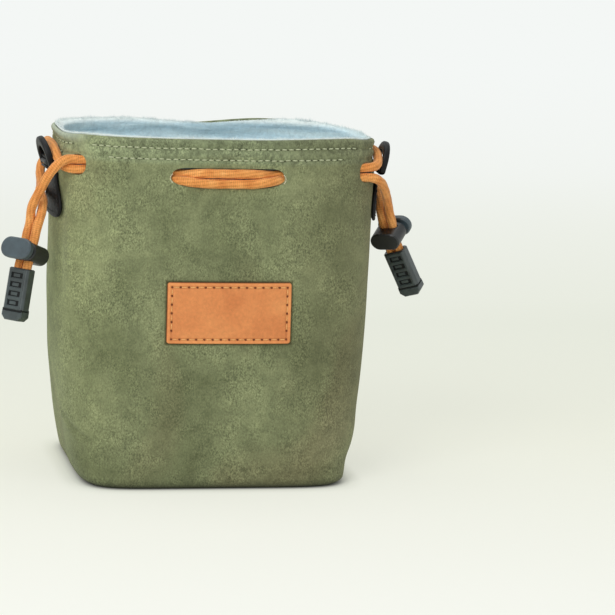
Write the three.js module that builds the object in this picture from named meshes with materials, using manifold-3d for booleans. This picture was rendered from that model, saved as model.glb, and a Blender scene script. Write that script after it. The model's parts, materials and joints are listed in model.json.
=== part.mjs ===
import * as THREE from "three";
import { mergeVertices } from "three/addons/utils/BufferGeometryUtils.js";
import Module from "manifold-3d";

// A padded drawstring pouch for a camera: suede cloth outside, foam, fleece lining,
// two drawcords with sprung locks, and a ring on each side for a strap.
// Millimetres, +Z up, the front faces -Y. The origin is the middle of the base, on the floor.

// Bag outline
const height = 160;
const baseWidth = 124; // over the rolled edge, so that the bag stands on 120 or so
const baseDepth = 100;
const mouthWidth = 152;
const mouthDepth = 74;
const swellHeight = 36; // the sides come close to their full width over this height
const depthTaper = 1.6; // above 1, the front leans back mostly near the mouth
const baseSquareness = 7; // exponent of the outline: 2 is an ellipse, more is squarer
const mouthSquareness = 3.05;
const squareFall = 20; // the base's square corners soften over this height
const baseRoll = 3; // the cloth rolls under to the base over this height

// Cloth layers
const gap = 0.3;
const suede = 1.2;
const padding = 4.4;
const fleece = 1.6;
const basePadding = 4;
const boardThickness = 2;
const hemDepth = 9.5; // the top edge is folded in by this much
const foldRise = 1;
const liningDrop = 0.8; // the lining stops this far under the rim
const liningBend = 2.6; // it comes out from the cords to the hem over this height

// Drawcord and its channel
const cordDiameter = 4.2;
const strandGap = 0.3; // between the two strands, one above the other
const cordDrop = 17; // from the rim to between the two strands
const channelSlack = 0.6; // between a strand and the cloth on each side of it
const windowWidth = 52;
const windowProud = 0.9; // the strands lie this far under the cloth's face at the window
const holeSlack = 0.5; // between a strand and the edge of its window or slit
const slitFromCentre = 70.5; // along the cloth, from the middle of the front or back
const slitWidth = 12;
const slitTall = 14;
const slitCorner = 3;
const slitDrop = 15; // from the rim to the middle of the slit
const leftSlitRise = 3.6; // the strands climb by this much from the window to the left slits
const rightSlitRise = 1.8;
const strandOffWall = 0.4; // a strand that lies on the outer cloth
const crossingDrop = 6; // from the rim to where a strand passes between the cloth and a ring
const pullIn = 2.2; // the crossing strands draw the sides in by this much
const pullSpread = 9; // above and below the crossing strand
const pullReach = 36; // to the front and the back of the side's middle

// Leather patch
const patchWidth = 58;
const patchTall = 28;
const patchThickness = 1.6;
const patchCorner = 1.6;
const patchHeight = 82;
const patchShift = 1.7;

// Side tabs and rings
const hardwareShift = 8; // the tabs sit this far to the front of the side's middle
const tabThickness = 1.5;
const tabWidth = 25;
const tabTopWidth = 15;
const tabDrop = 39.5; // from the rim to the foot of the tab
const tabCorner = 5;
const barDrop = 15; // from the rim to the ring's bar
const barDiameter = 3;
const barSlack = 0.3;
const loopWall = 1;
const ringWidth = 20.4;
const ringTall = 12.4; // from the bar's axis to the top of the bow
const ringStraight = 2.6;
const ringArm = 2.4;
const ringBow = 4.4;
const ringThickness = 3;
const ringBevel = 0.8;
const leftRingLean = 18; // degrees out from upright
const rightRingLean = 13;

// Cord locks
const lockWidth = 14.4;
const lockDepth = 8.6;
const lockWall = 1.2;
const lockFloor = 1.2;
const capWidth = 16.4;
const capDepth = 9.6;
const capThickness = 3.4;
const capBevel = 0.6;
const pressTravel = 2;
const springHeight = 3.6;
const springDiameter = 4.8;
const springWire = 0.5;
const springTurns = 3;
const springSlack = 0.15;
const stemWeb = 0.9;
const stemSlack = 0.3;
const lockHoleSlack = 0.3;
const strandSpacing = 4.5;
const lockHoleRim = 1.4;

// Cord tips
const tipWidth = 11;
const tipDepth = 6.6;
const tipLength = 24;
const tipCoverLength = 4.4;
const tipCorner = 1.6;
const tipChamfer = 2;
const tipBevel = 0.5;
const tongueLength = 3;
const tipSlack = 0.3;
const recessCount = 4;
const recessWidth = 6.2;
const recessTall = 2.4;
const recessPitch = 4.2;
const recessFirst = 3.4;
const recessDeep = 0.35;

// Fineness of the meshes
const wallColumns = 48;
const cordSides = 8;
const cordStep = 6;
const roundSides = 12;
const curveSteps = 4;

const cordHeight = height - cordDrop;
const slitHeight = height - slitDrop;
const crossingHeight = height - crossingDrop;
const tabBottom = height - tabDrop;
const barHeight = height - barDrop;
const cordRadius = cordDiameter / 2;
const strandRise = (cordDiameter + strandGap) / 2;
const channelDepth = cordDiameter + 2 * channelSlack;

const wasm = await Module();
wasm.setup();

// Joins and cuts

function bare(geometry) {
  const copy = geometry.clone();
  copy.deleteAttribute("normal");
  copy.deleteAttribute("uv");
  return mergeVertices(copy, 1e-4);
}

function toSolid(geometry) {
  const merged = bare(geometry);
  return new wasm.Manifold(
    new wasm.Mesh({
      numProp: 3,
      vertProperties: merged.attributes.position.array,
      triVerts: new Uint32Array(merged.index.array),
    }),
  );
}

function toGeometry(solid) {
  const mesh = solid.getMesh();
  const geometry = new THREE.BufferGeometry();
  geometry.setAttribute("position", new THREE.BufferAttribute(mesh.vertProperties, 3));
  geometry.setIndex(new THREE.BufferAttribute(mesh.triVerts, 1));
  return geometry;
}

function cut(geometry, ...cutters) {
  return toGeometry(cutters.reduce((solid, cutter) => solid.subtract(toSolid(cutter)), toSolid(geometry)));
}

function join(geometry, ...others) {
  return toGeometry(others.reduce((solid, other) => solid.add(toSolid(other)), toSolid(geometry)));
}

// The bag's outline at each height

function foldedUnder(z) {
  return z < baseRoll ? baseRoll * (1 - z / baseRoll) ** 2 : 0;
}

function rollSlope(z) {
  return z < baseRoll ? 2 * (1 - z / baseRoll) : 0;
}

function outline(z) {
  const swell = 1 - Math.exp(-z / swellHeight);
  const rise = Math.max(z, 0) / height;
  return {
    halfWidth: (baseWidth + (mouthWidth - baseWidth) * swell) / 2 - foldedUnder(z),
    halfDepth: (baseDepth + (mouthDepth - baseDepth) * rise ** depthTaper) / 2 - foldedUnder(z),
    power: mouthSquareness + (baseSquareness - mouthSquareness) * Math.exp(-z / squareFall),
  };
}

const signedPower = (value, power) => Math.sign(value) * Math.abs(value) ** power;

const bell = (share) => (Math.abs(share) < 1 ? Math.cos((Math.PI / 2) * share) ** 2 : 0);

// A point at an angle round the bag: 0 is the middle of the front, a quarter turn is +X.
function outlinePoint(angle, z, inset) {
  const { halfWidth, halfDepth, power } = outline(z);
  const across = signedPower(Math.sin(angle), 2 / power);
  const along = signedPower(Math.cos(angle), 2 / power);
  const pulled = pullIn * bell((z - crossingHeight) / pullSpread) * bell((halfDepth * along) / pullReach);
  return new THREE.Vector3(
    (halfWidth - inset) * across - Math.sign(across) * pulled,
    -(halfDepth - inset) * along,
    z,
  );
}

// The length of the outline up to each of many angles, at one height.
const fineSteps = 2880;
const lengthTables = new Map();

function lengthsAt(z) {
  if (!lengthTables.has(z)) {
    const lengths = [0];
    let from = outlinePoint(0, z, 0);
    for (let i = 1; i <= fineSteps; i++) {
      const to = outlinePoint((i / fineSteps) * 2 * Math.PI, z, 0);
      lengths.push(lengths[i - 1] + from.distanceTo(to));
      from = to;
    }
    lengthTables.set(z, lengths);
  }
  return lengthTables.get(z);
}

const girth = lengthsAt(cordHeight)[fineSteps];

// The angle of a place along the cloth. Distances along it are measured at the cord's height
// and shrink or grow with the outline at other heights.
function angleAt(along, z) {
  const lengths = lengthsAt(z);
  const wanted = (THREE.MathUtils.euclideanModulo(along, girth) / girth) * lengths[fineSteps];
  let low = 0;
  let high = fineSteps;
  while (high - low > 1) {
    const middle = (low + high) >> 1;
    if (lengths[middle] > wanted) high = middle;
    else low = middle;
  }
  const share = (wanted - lengths[low]) / (lengths[high] - lengths[low]);
  return ((low + share) / fineSteps) * 2 * Math.PI;
}

function outward(along, z) {
  const before = outlinePoint(angleAt(along - 1, z), z, 0);
  const after = outlinePoint(angleAt(along + 1, z), z, 0);
  return new THREE.Vector3(after.y - before.y, before.x - after.x, 0).normalize();
}

// A point by its distance along the cloth, its height and how far it stands off the outer face.
function onWall(along, z, off) {
  return outlinePoint(angleAt(along, z), z, 0).addScaledVector(outward(along, z), off);
}

// Closed solids from grids of points

function closedGrid(outer, inner, wraps) {
  const columns = outer.length;
  const rows = outer[0].length;
  const positions = [];
  for (const side of [outer, inner])
    for (const column of side) for (const point of column) positions.push(point.x, point.y, point.z);
  const at = (layer, i, j) => (layer * columns + (i % columns)) * rows + j;
  const triangles = [];
  const quad = (a, b, c, d) => triangles.push(a, b, c, a, c, d);
  const spans = wraps ? columns : columns - 1;
  for (let i = 0; i < spans; i++) {
    for (let j = 0; j < rows - 1; j++) {
      quad(at(0, i, j), at(0, i + 1, j), at(0, i + 1, j + 1), at(0, i, j + 1));
      quad(at(1, i, j), at(1, i, j + 1), at(1, i + 1, j + 1), at(1, i + 1, j));
    }
    quad(at(0, i, 0), at(1, i, 0), at(1, i + 1, 0), at(0, i + 1, 0));
    quad(at(0, i, rows - 1), at(0, i + 1, rows - 1), at(1, i + 1, rows - 1), at(1, i, rows - 1));
  }
  if (!wraps)
    for (let j = 0; j < rows - 1; j++) {
      const last = columns - 1;
      quad(at(0, 0, j), at(0, 0, j + 1), at(1, 0, j + 1), at(1, 0, j));
      quad(at(0, last, j), at(1, last, j), at(1, last, j + 1), at(0, last, j + 1));
    }
  const geometry = new THREE.BufferGeometry();
  geometry.setAttribute("position", new THREE.Float32BufferAttribute(positions, 3));
  geometry.setIndex(triangles);
  return geometry;
}

// A wall between two insets, over part of the girth or all of it. outerInset and innerInset
// give the inset at each height in rows.
function wall(from, to, rows, outerInset, innerInset) {
  const wraps = to - from >= girth;
  const columns = Math.round((wallColumns * (to - from)) / girth);
  const count = wraps ? columns : columns + 1;
  const grid = (inset) =>
    Array.from({ length: count }, (_, i) => {
      const along = from + ((to - from) * i) / columns;
      return rows.map((z) => outlinePoint(angleAt(along, z), z, inset(z)));
    });
  return closedGrid(grid(outerInset), grid(innerInset), wraps);
}

// A flat layer in the base that fits the outline at its underside.
function plate(bottom, thickness, inset) {
  const ring = Array.from({ length: wallColumns }, (_, i) =>
    outlinePoint(angleAt((girth * i) / wallColumns, bottom), bottom, inset),
  );
  const shape = new THREE.Shape(ring.map((point) => new THREE.Vector2(point.x, point.y)));
  return new THREE.ExtrudeGeometry(shape, { depth: thickness, bevelEnabled: false }).translate(0, 0, bottom);
}

// A rectangle with round corners; a slot where the corner is left out.
function slot(width, tall, corner = Math.min(width, tall) / 2) {
  const x = width / 2 - corner;
  const y = tall / 2 - corner;
  const shape = new THREE.Shape();
  shape.absarc(x, y, corner, 0, Math.PI / 2, false);
  shape.absarc(-x, y, corner, Math.PI / 2, Math.PI, false);
  shape.absarc(-x, -y, corner, Math.PI, 1.5 * Math.PI, false);
  shape.absarc(x, -y, corner, 1.5 * Math.PI, 2 * Math.PI, false);
  const points = shape.getPoints(curveSteps);
  return new THREE.Shape(points.filter((point, i) => i === 0 || point.distanceTo(points[i - 1]) > 1e-3));
}

// A prism along Z whose edges may be bevelled inside its length.
function prism(shape, from, to, bevel = 0) {
  return new THREE.ExtrudeGeometry(shape, {
    depth: to - from - 2 * bevel,
    bevelEnabled: bevel > 0,
    bevelThickness: bevel,
    bevelSize: bevel,
    bevelOffset: -bevel,
    bevelSegments: 1,
    curveSegments: curveSteps,
  }).translate(0, 0, from + bevel);
}

function box(width, deep, tall, x, y, z) {
  return new THREE.BoxGeometry(width, deep, tall).translate(x, y, z);
}

// A round cord along a smooth curve through the points.
function tube(points, radius, step, sides = cordSides) {
  const path = new THREE.CatmullRomCurve3(points, false, "centripetal");
  path.arcLengthDivisions = 40 * points.length;
  const section = new THREE.Shape(
    Array.from({ length: sides }, (_, i) => {
      const angle = (2 * Math.PI * i) / sides;
      return new THREE.Vector2(radius * Math.cos(angle), radius * Math.sin(angle));
    }),
  );
  const steps = Math.max(2, Math.round(path.getLength() / step));
  return new THREE.ExtrudeGeometry(section, { steps, extrudePath: path, bevelEnabled: false });
}

const root = new THREE.Group();

function add(name, geometry, material, parent = root) {
  const mesh = new THREE.Mesh(geometry, material);
  mesh.name = name;
  parent.add(mesh);
  return mesh;
}

const paint = (color, roughness, metalness = 0) =>
  new THREE.MeshStandardMaterial({ color, roughness, metalness });
const suedeCloth = paint(0x828a66, 0.95);
const fleeceCloth = paint(0xa5bed0, 0.98);
const foamFill = paint(0x4a4d50, 0.9);
const boardPlastic = paint(0x2c2e30, 0.6);
const tanLeather = paint(0xda8e56, 0.6);
const braid = paint(0xd8863e, 0.85);
const blackWeb = paint(0x26292b, 0.8);
const blackPlastic = paint(0x2b3033, 0.45);
const springSteel = paint(0xb9bdc0, 0.3, 1);

// Outer cloth

const skinInner = (z) => suede * Math.hypot(1, rollSlope(z));
const hemStart = height - hemDepth;
const foldedInner = (z) => (z > hemStart ? 2 * suede : skinInner(z));
const liningTop = height - liningDrop;
const liningStep = hemStart + foldRise + gap;
const mouthRows = [liningStep, (liningStep + liningTop) / 2, liningTop];
const bodyRows = [0.075, 0.1625, 0.2875, 0.45, 0.6375, 0.8].map((share) => share * height);
const cordRows = [cordHeight - cordDiameter, cordHeight + cordRadius];
const rollRows = [0, baseRoll / 3, (2 * baseRoll) / 3, baseRoll];
const hemRows = [hemStart - foldRise, hemStart + foldRise];
const outerRows = [...rollRows, ...bodyRows, ...cordRows, ...hemRows, ...mouthRows, height];

function sewnPanel(middle) {
  const seam = gap / 2;
  return wall(
    middle - girth / 4 + seam,
    middle + girth / 4 - seam,
    outerRows,
    () => 0,
    foldedInner,
  );
}

const windowTall = 2 * (strandRise + cordRadius + holeSlack);

function windowCutter(middle) {
  const front = middle === 0 ? -1 : 1;
  return prism(slot(windowWidth + 2 * holeSlack, windowTall), -baseDepth / 4, baseDepth / 4)
    .rotateX(Math.PI / 2)
    .translate(0, (front * baseDepth) / 2, cordHeight);
}

function slitCutter(along) {
  const place = onWall(along, slitHeight, 0);
  const facing = outward(along, slitHeight);
  const turn = new THREE.Matrix4().makeBasis(
    new THREE.Vector3(0, 0, 1).cross(facing),
    new THREE.Vector3(0, 0, 1),
    facing,
  );
  return prism(slot(slitWidth, slitTall, slitCorner), -4 * suede, 4 * suede)
    .applyMatrix4(turn)
    .translate(place.x, place.y, place.z);
}

const frontMiddle = 0;
const backMiddle = girth / 2;

function outerPanel(middle) {
  return cut(
    sewnPanel(middle),
    windowCutter(middle),
    slitCutter(middle - slitFromCentre),
    slitCutter(middle + slitFromCentre),
  );
}

add("outer_front_panel", outerPanel(frontMiddle), suedeCloth);
add("outer_back_panel", outerPanel(backMiddle), suedeCloth);
add("outer_base_panel", plate(0, suede, skinInner(0) + gap), suedeCloth);

// Board and foam

const boardBottom = suede + gap;
const baseFoamBottom = boardBottom + boardThickness + gap;
const liningBottom = baseFoamBottom + basePadding + gap;
const foamOuter = (z) => skinInner(z) + gap;
const foamInner = (z) => foamOuter(z) + padding;
const foamTop = cordHeight - strandRise - cordRadius - channelSlack;

function foamPad(middle) {
  return wall(
    middle - girth / 4 + gap / 2,
    middle + girth / 4 - gap / 2,
    [baseFoamBottom, ...bodyRows, foamTop],
    foamOuter,
    foamInner,
  );
}

add("base_board", plate(boardBottom, boardThickness, foamOuter(boardBottom)), boardPlastic);
add("foam_front_pad", foamPad(frontMiddle), foamFill);
add("foam_back_pad", foamPad(backMiddle), foamFill);
add("foam_base_pad", plate(baseFoamBottom, basePadding, foamInner(baseFoamBottom) + gap), foamFill);

// Lining: behind the foam and the cords, and out to the folded hem above them

const liningLow = Math.max(suede + gap + padding + gap, suede + channelDepth);
const liningHigh = 2 * suede + gap;
const liningOuter = (z) => (z < liningStep ? liningLow : liningHigh);

function liningPanel(middle) {
  return wall(
    middle - girth / 4 + gap / 2,
    middle + girth / 4 - gap / 2,
    [liningBottom, ...bodyRows, ...cordRows, liningStep - liningBend, ...mouthRows],
    liningOuter,
    (z) => liningOuter(z) + fleece,
  );
}

add("lining_front_panel", liningPanel(frontMiddle), fleeceCloth);
add("lining_back_panel", liningPanel(backMiddle), fleeceCloth);
add("lining_base", plate(liningBottom, fleece, liningLow + fleece + gap), fleeceCloth);

// Patch: a sheet that follows the front, with rounded corners

function patchSheet() {
  const columns = 10;
  const cornerSteps = 2;
  const heights = [];
  for (let k = 0; k <= cornerSteps; k++) {
    const turn = ((k / cornerSteps) * Math.PI) / 2;
    heights.push([
      patchTall / 2 - patchCorner * (1 - Math.sin(turn)),
      patchCorner * (1 - Math.cos(turn)),
    ]);
  }
  const upper = heights.map(([v, narrow]) => [patchHeight + v, narrow]);
  const lower = heights.map(([v, narrow]) => [patchHeight - v, narrow]).reverse();
  const rows = [...lower, ...upper];
  const sheet = (off) =>
    Array.from({ length: columns + 1 }, (_, i) =>
      rows.map(([z, narrow]) => {
        const x = patchShift + (patchWidth / 2 - narrow) * ((2 * i) / columns - 1);
        const { halfWidth, halfDepth, power } = outline(z);
        const y = -halfDepth * (1 - (Math.abs(x) / halfWidth) ** power) ** (1 / power);
        return new THREE.Vector3(x, y - off, z);
      }),
    );
  return closedGrid(sheet(gap + patchThickness), sheet(gap), false);
}

add("leather_patch", patchSheet(), tanLeather);

// Side tabs and rings, made for +X and mirrored for -X

const loopOuter = barDiameter / 2 + barSlack + loopWall;
const barOff = gap + loopOuter;
const sideMiddle = girth / 4;
const hardwareAlong = sideMiddle - hardwareShift;
const facing = outward(hardwareAlong, barHeight);
const barPlace = onWall(hardwareAlong, barHeight, barOff);

// Turns a piece made with X to the back, Y up and Z out from the cloth, and sets it on the bar.
function onSide(geometry) {
  const up = new THREE.Vector3(0, 0, 1);
  const turn = new THREE.Matrix4().makeBasis(up.clone().cross(facing), up, facing);
  return geometry.applyMatrix4(turn).translate(barPlace.x, barPlace.y, barPlace.z);
}

// The leaf of the tab follows the cloth, narrows to the top and has round lower corners.
function tabLeaf() {
  const columns = 6;
  const top = barHeight - barDiameter / 2;
  const cornerRows = [0, Math.PI / 6, Math.PI / 3, Math.PI / 2].map((turn) => [
    tabBottom + tabCorner * (1 - Math.cos(turn)),
    tabWidth / 2 - tabCorner * (1 - Math.sin(turn)),
  ]);
  const rows = [...cornerRows, [top, tabTopWidth / 2]];
  const sheet = (off) =>
    Array.from({ length: columns + 1 }, (_, i) =>
      rows.map(([z, half]) => onWall(hardwareAlong + half * ((2 * i) / columns - 1), z, off)),
    );
  return closedGrid(sheet(gap + tabThickness), sheet(gap), false);
}

function sideTab() {
  const annulus = new THREE.Shape();
  annulus.absarc(0, 0, loopOuter, 0, 2 * Math.PI, false);
  const bore = new THREE.Path();
  bore.absarc(0, 0, barDiameter / 2 + barSlack, 0, 2 * Math.PI, true);
  annulus.holes.push(bore);
  const loop = new THREE.ExtrudeGeometry(annulus, {
    depth: tabTopWidth,
    bevelEnabled: false,
    curveSegments: roundSides,
  })
    .translate(0, 0, -tabTopWidth / 2)
    .rotateY(Math.PI / 2);
  return join(tabLeaf(), onSide(loop));
}

function sideRing(lean) {
  const outer = ringWidth / 2;
  const hole = outer - ringArm;
  const low = -barDiameter / 2;
  const shape = new THREE.Shape();
  shape.moveTo(-outer, low);
  shape.lineTo(-hole, low);
  shape.lineTo(-hole, ringStraight);
  shape.absellipse(0, ringStraight, hole, ringTall - ringBow - ringStraight, Math.PI, 0, true);
  shape.lineTo(hole, low);
  shape.lineTo(outer, low);
  shape.lineTo(outer, ringStraight);
  shape.absellipse(0, ringStraight, outer, ringTall - ringStraight, 0, Math.PI, false);
  shape.closePath();
  const bow = prism(shape, -ringThickness / 2, ringThickness / 2, ringBevel);
  const barLength = ringWidth - ringArm;
  const bar = new THREE.CylinderGeometry(barDiameter / 2, barDiameter / 2, barLength, roundSides)
    .rotateZ(Math.PI / 2);
  return onSide(join(bow, bar).rotateX(THREE.MathUtils.degToRad(lean)));
}

function mirrored(geometry) {
  const copy = bare(geometry).applyMatrix4(new THREE.Matrix4().makeScale(-1, 1, 1));
  const index = copy.index.array;
  for (let i = 0; i < index.length; i += 3) [index[i + 1], index[i + 2]] = [index[i + 2], index[i + 1]];
  return copy;
}

add("side_tab_left", mirrored(sideTab()), blackWeb);
add("side_tab_right", sideTab(), blackWeb);
add("side_ring_left", mirrored(sideRing(leftRingLean)), blackPlastic);
add("side_ring_right", sideRing(rightRingLean), blackPlastic);

// Drawcords. The stretch that the bag holds: from one slit through the front channel and
// window, out at the other slit, round the side under the ring, and back the same way.

const inChannel = -(suede + channelSlack + cordRadius);
const inWindow = -windowProud;
const onCloth = cordRadius + strandOffWall;

// Half of a cord's route, from its own slit through the channel and window, out at the other
// slit and on to the middle of that side. Each place is a distance along the cloth, a height
// over the channel's middle, and how far it stands off the cloth's outer face. edge is the
// side of a slit that is nearer the window. Where the levels differ, the strand winds half a
// turn round the other one in the window, outside it where wind is 1 and behind it at -1.
function halfRoute(freeLevel, crossLevel, freeRise, crossRise, wind) {
  const half = windowWidth / 2;
  const edge = slitFromCentre - slitWidth / 2;
  const climb = crossingHeight - cordHeight - crossLevel - crossRise;
  const fromSlit = [
    [-edge - 6, freeRise, -0.4],
    [-edge - 3, freeRise, -2.3],
    [-edge, freeRise, inChannel + 0.1],
    [-edge + 6, 0.8 * freeRise, inChannel],
    [-edge + 15, 0.4 * freeRise, inChannel],
    [-half - 8, 0.1 * freeRise, inChannel],
    [-half, 0, inChannel],
  ].map(([along, rise, off]) => [along, freeLevel + rise, off]);
  const woundOver = half - 6;
  const acrossWindow = [-1, -0.65, -0.33, 0, 0.33, 0.65, 1].map((share) => {
    const turn = ((share + 1) * Math.PI) / 2;
    const level = (freeLevel + crossLevel) / 2 + ((freeLevel - crossLevel) / 2) * Math.cos(turn);
    const off = Math.abs(share) < 1 ? inWindow : (inChannel + inWindow) / 2;
    return [share * woundOver, level, off + wind * strandRise * Math.sin(turn)];
  });
  const toSide = [
    [half, 0, inChannel],
    [half + 8, 0.1 * crossRise, inChannel],
    [edge - 15, 0.4 * crossRise, inChannel],
    [edge - 6, 0.8 * crossRise, inChannel],
    [edge, crossRise, inChannel + 0.1],
    [edge + 3, crossRise, -2.3],
    [edge + 6, crossRise + 0.01 * climb, -0.4],
    [edge + 9, crossRise + 0.05 * climb, 1.6],
    [edge + 12, crossRise + 0.16 * climb, onCloth + 0.2],
    [edge + 16, crossRise + 0.44 * climb, onCloth],
    [edge + 21, crossRise + 0.8 * climb, onCloth],
    [edge + 27, crossRise + 0.98 * climb, onCloth],
    [sideMiddle, crossRise + climb, onCloth],
  ].map(([along, rise, off]) => [along, crossLevel + rise, off]);
  return [...fromSlit, ...acrossWindow, ...toSide];
}

// The whole held route. way is 1 where the cord crosses outside on the right.
function heldRoute(way, front, behind) {
  const back = behind.slice(0, -1).reverse().map(([along, level, off]) => [2 * sideMiddle - along, level, off]);
  return [...front, ...back].map(([along, level, off]) => onWall(way * along, cordHeight + level, off));
}

// In front, the left cord stays above the right one. Behind, they change places in the
// window, so that each cord's free end leaves its slit below the other cord.
const upper = strandRise;
const lower = -strandRise;
const leftHeld = heldRoute(
  1,
  halfRoute(upper, upper, leftSlitRise, rightSlitRise, 0),
  halfRoute(lower, upper, leftSlitRise, rightSlitRise, 1),
);
const rightHeld = heldRoute(
  -1,
  halfRoute(lower, lower, rightSlitRise, leftSlitRise, 0),
  halfRoute(lower, upper, rightSlitRise, leftSlitRise, -1),
);
add("drawcord_left_held", tube(leftHeld, cordRadius, cordStep), braid);
add("drawcord_right_held", tube(rightHeld, cordRadius, cordStep), braid);

// What hangs on the cords moves up and down with their channel.
const routeHeight = 143; // cordHeight where the points below are the strands' own
const hanging = new THREE.Group();
hanging.position.z = cordHeight - routeHeight;
root.add(hanging);

// The free strands, from their slit to inside the cord tip, through the lock.
const freeStrands = {
  cord_left_front_end: [
    [-67.6, -25.5, 148.9], [-70.3, -25.6, 149.0], [-72.9, -26.2, 148.7], [-75.4, -26.9, 147.6],
    [-77.7, -27.4, 145.6], [-79.7, -27.3, 143.1], [-81.6, -26.8, 140.1], [-83.1, -25.2, 136.3],
    [-84.7, -24.1, 132.7],
    [-86.2, -22.7, 128.9], [-87.2, -21.4, 125.0], [-87.4, -20.9, 121.1], [-88.0, -21.4, 117.2],
    [-89.3, -22.7, 112.6], [-91.0, -24.4, 106.0], [-91.9, -25.3, 102.6], [-92.9, -26.3, 98.8],
    [-93.6, -27.0, 94.0], [-94.5, -27.8, 88.6], [-95.3, -28.6, 83.3],
  ],
  cord_left_back_end: [
    [-67.9, 25.6, 144.3], [-70.7, 25.2, 144.1], [-73.3, 24.6, 143.1], [-75.5, 23.5, 141.4],
    [-77.0, 21.9, 139.2], [-77.8, 19.6, 136.9], [-78.1, 16.6, 134.8], [-78.3, 12.9, 132.8],
    [-78.9, 8.9, 131.1], [-79.8, 4.4, 130.0], [-80.4, -0.2, 129.5], [-80.7, -4.7, 129.4],
    [-80.9, -9.1, 129.4], [-81.1, -13.2, 128.9], [-81.4, -16.9, 127.5], [-82.1, -20.1, 124.9],
    [-83.1, -22.4, 121.7], [-84.1, -23.9, 119.3], [-84.8, -24.6, 117.2], [-86.0, -25.8, 112.6],
    [-87.8, -27.6, 106.0], [-88.7, -28.5, 102.6], [-89.7, -29.5, 98.8], [-90.4, -30.1, 94.0],
    [-91.3, -30.9, 88.6], [-92.1, -31.7, 83.3],
  ],
  cord_right_front_end: [
    [67.8, -25.7, 142.6], [70.5, -25.3, 142.4], [73.1, -24.4, 141.7], [75.4, -22.8, 140.4],
    [77.5, -20.5, 138.3], [79.4, -17.6, 135.5], [81.1, -14.3, 132.4], [82.7, -11.2, 129.0],
    [84.3, -8.4, 125.1], [85.6, -6.8, 121.6], [87.2, -5.6, 117.1], [88.8, -4.3, 112.5],
    [90.3, -3.3, 108.4], [92.0, -2.7, 104.8], [94.3, -2.2, 100.4], [96.8, -1.6, 95.6],
    [99.3, -1.1, 90.8],
  ],
  cord_right_back_end: [
    [67.8, 25.7, 142.6], [70.6, 25.4, 142.6], [73.3, 24.5, 142.3], [75.8, 22.7, 141.5],
    [78.0, 19.8, 140.3], [79.6, 15.9, 138.6], [80.6, 10.9, 136.2], [81.1, 5.8, 133.6],
    [81.2, 0.9, 131.1], [81.4, -2.1, 128.0], [81.4, -3.6, 124.8], [82.0, -4.0, 121.3],
    [82.9, -3.7, 118.5], [84.0, -2.6, 115.5], [85.2, -1.7, 111.9], [86.7, -0.7, 107.8],
    [88.7, 0.1, 103.4], [91.1, 0.6, 98.8], [93.6, 1.1, 94.1], [96.1, 1.7, 89.4],
  ],
};
for (const [name, points] of Object.entries(freeStrands))
  add(name, tube(points.map((point) => new THREE.Vector3(...point)), cordRadius, cordStep), braid, hanging);

// Cord locks, made along +Z with the strands along Y and side by side along X

const lockHoleTall = cordDiameter + 2 * lockHoleSlack;
const lockHoleWidth = strandSpacing + cordDiameter + 2 * lockHoleSlack;
const stemBottom = lockFloor + 2 * springSlack + springHeight;
const lockHoleBottom = stemBottom + stemWeb;
const lockHoleMiddle = lockHoleBottom + lockHoleTall / 2;
const lockLength = lockHoleBottom + lockHoleTall + lockHoleRim;
const capBottom = lockLength + gap + pressTravel;
const cavityWidth = lockWidth - 2 * lockWall;
const cavityDepth = lockDepth - 2 * lockWall;

function throughHole(tall, bottom) {
  return prism(slot(lockHoleWidth, tall, lockHoleTall / 2), -lockDepth, lockDepth)
    .rotateX(Math.PI / 2)
    .translate(0, 0, bottom + tall / 2);
}

function lockBody() {
  const outer = prism(slot(lockWidth, lockDepth), 0, lockLength, capBevel);
  const cavity = prism(slot(cavityWidth, cavityDepth), lockFloor, lockLength + 1);
  return cut(outer, cavity, throughHole(lockHoleTall, lockHoleBottom));
}

function lockButton() {
  const cap = prism(slot(capWidth, capDepth), capBottom, capBottom + capThickness, capBevel);
  const stem = prism(
    slot(cavityWidth - 2 * stemSlack, cavityDepth - 2 * stemSlack),
    stemBottom,
    capBottom + capThickness / 2,
  );
  return join(cap, cut(stem, throughHole(lockHoleTall + pressTravel, lockHoleBottom)));
}

function lockSpring() {
  const turnSteps = 8;
  const radius = (springDiameter - springWire) / 2;
  const low = lockFloor + springSlack + springWire / 2;
  const rise = springHeight - springWire;
  const count = springTurns * turnSteps;
  const points = Array.from({ length: count + 1 }, (_, i) => {
    const angle = (2 * Math.PI * i) / turnSteps;
    return new THREE.Vector3(radius * Math.cos(angle), radius * Math.sin(angle), low + (rise * i) / count);
  });
  const path = new THREE.CatmullRomCurve3(points);
  const section = new THREE.Shape(
    Array.from({ length: 5 }, (_, i) => {
      const angle = (2 * Math.PI * i) / 5;
      return new THREE.Vector2((springWire / 2) * Math.cos(angle), (springWire / 2) * Math.sin(angle));
    }),
  );
  return new THREE.ExtrudeGeometry(section, { steps: count, extrudePath: path, bevelEnabled: false });
}

// Cord tips, hanging down -Z from their open mouth, wide along X

const tipShellLength = tipLength - tipCoverLength - gap;
const mouthWide = strandSpacing + cordDiameter + 2 * tipSlack;
const mouthDeep = cordDiameter + 2 * tipSlack;

function tipShell() {
  const shell = prism(slot(tipWidth, tipDepth, tipCorner), -tipShellLength, 0, tipBevel);
  const bore = prism(slot(mouthWide, mouthDeep), -tipLength, 1);
  const recesses = [];
  for (let i = 0; i < recessCount; i++)
    for (const face of [-1, 1])
      recesses.push(
        box(
          recessWidth,
          2 * recessDeep,
          recessTall,
          0,
          (face * tipDepth) / 2,
          -recessFirst - i * recessPitch,
        ),
      );
  return cut(shell, bore, ...recesses);
}

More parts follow.
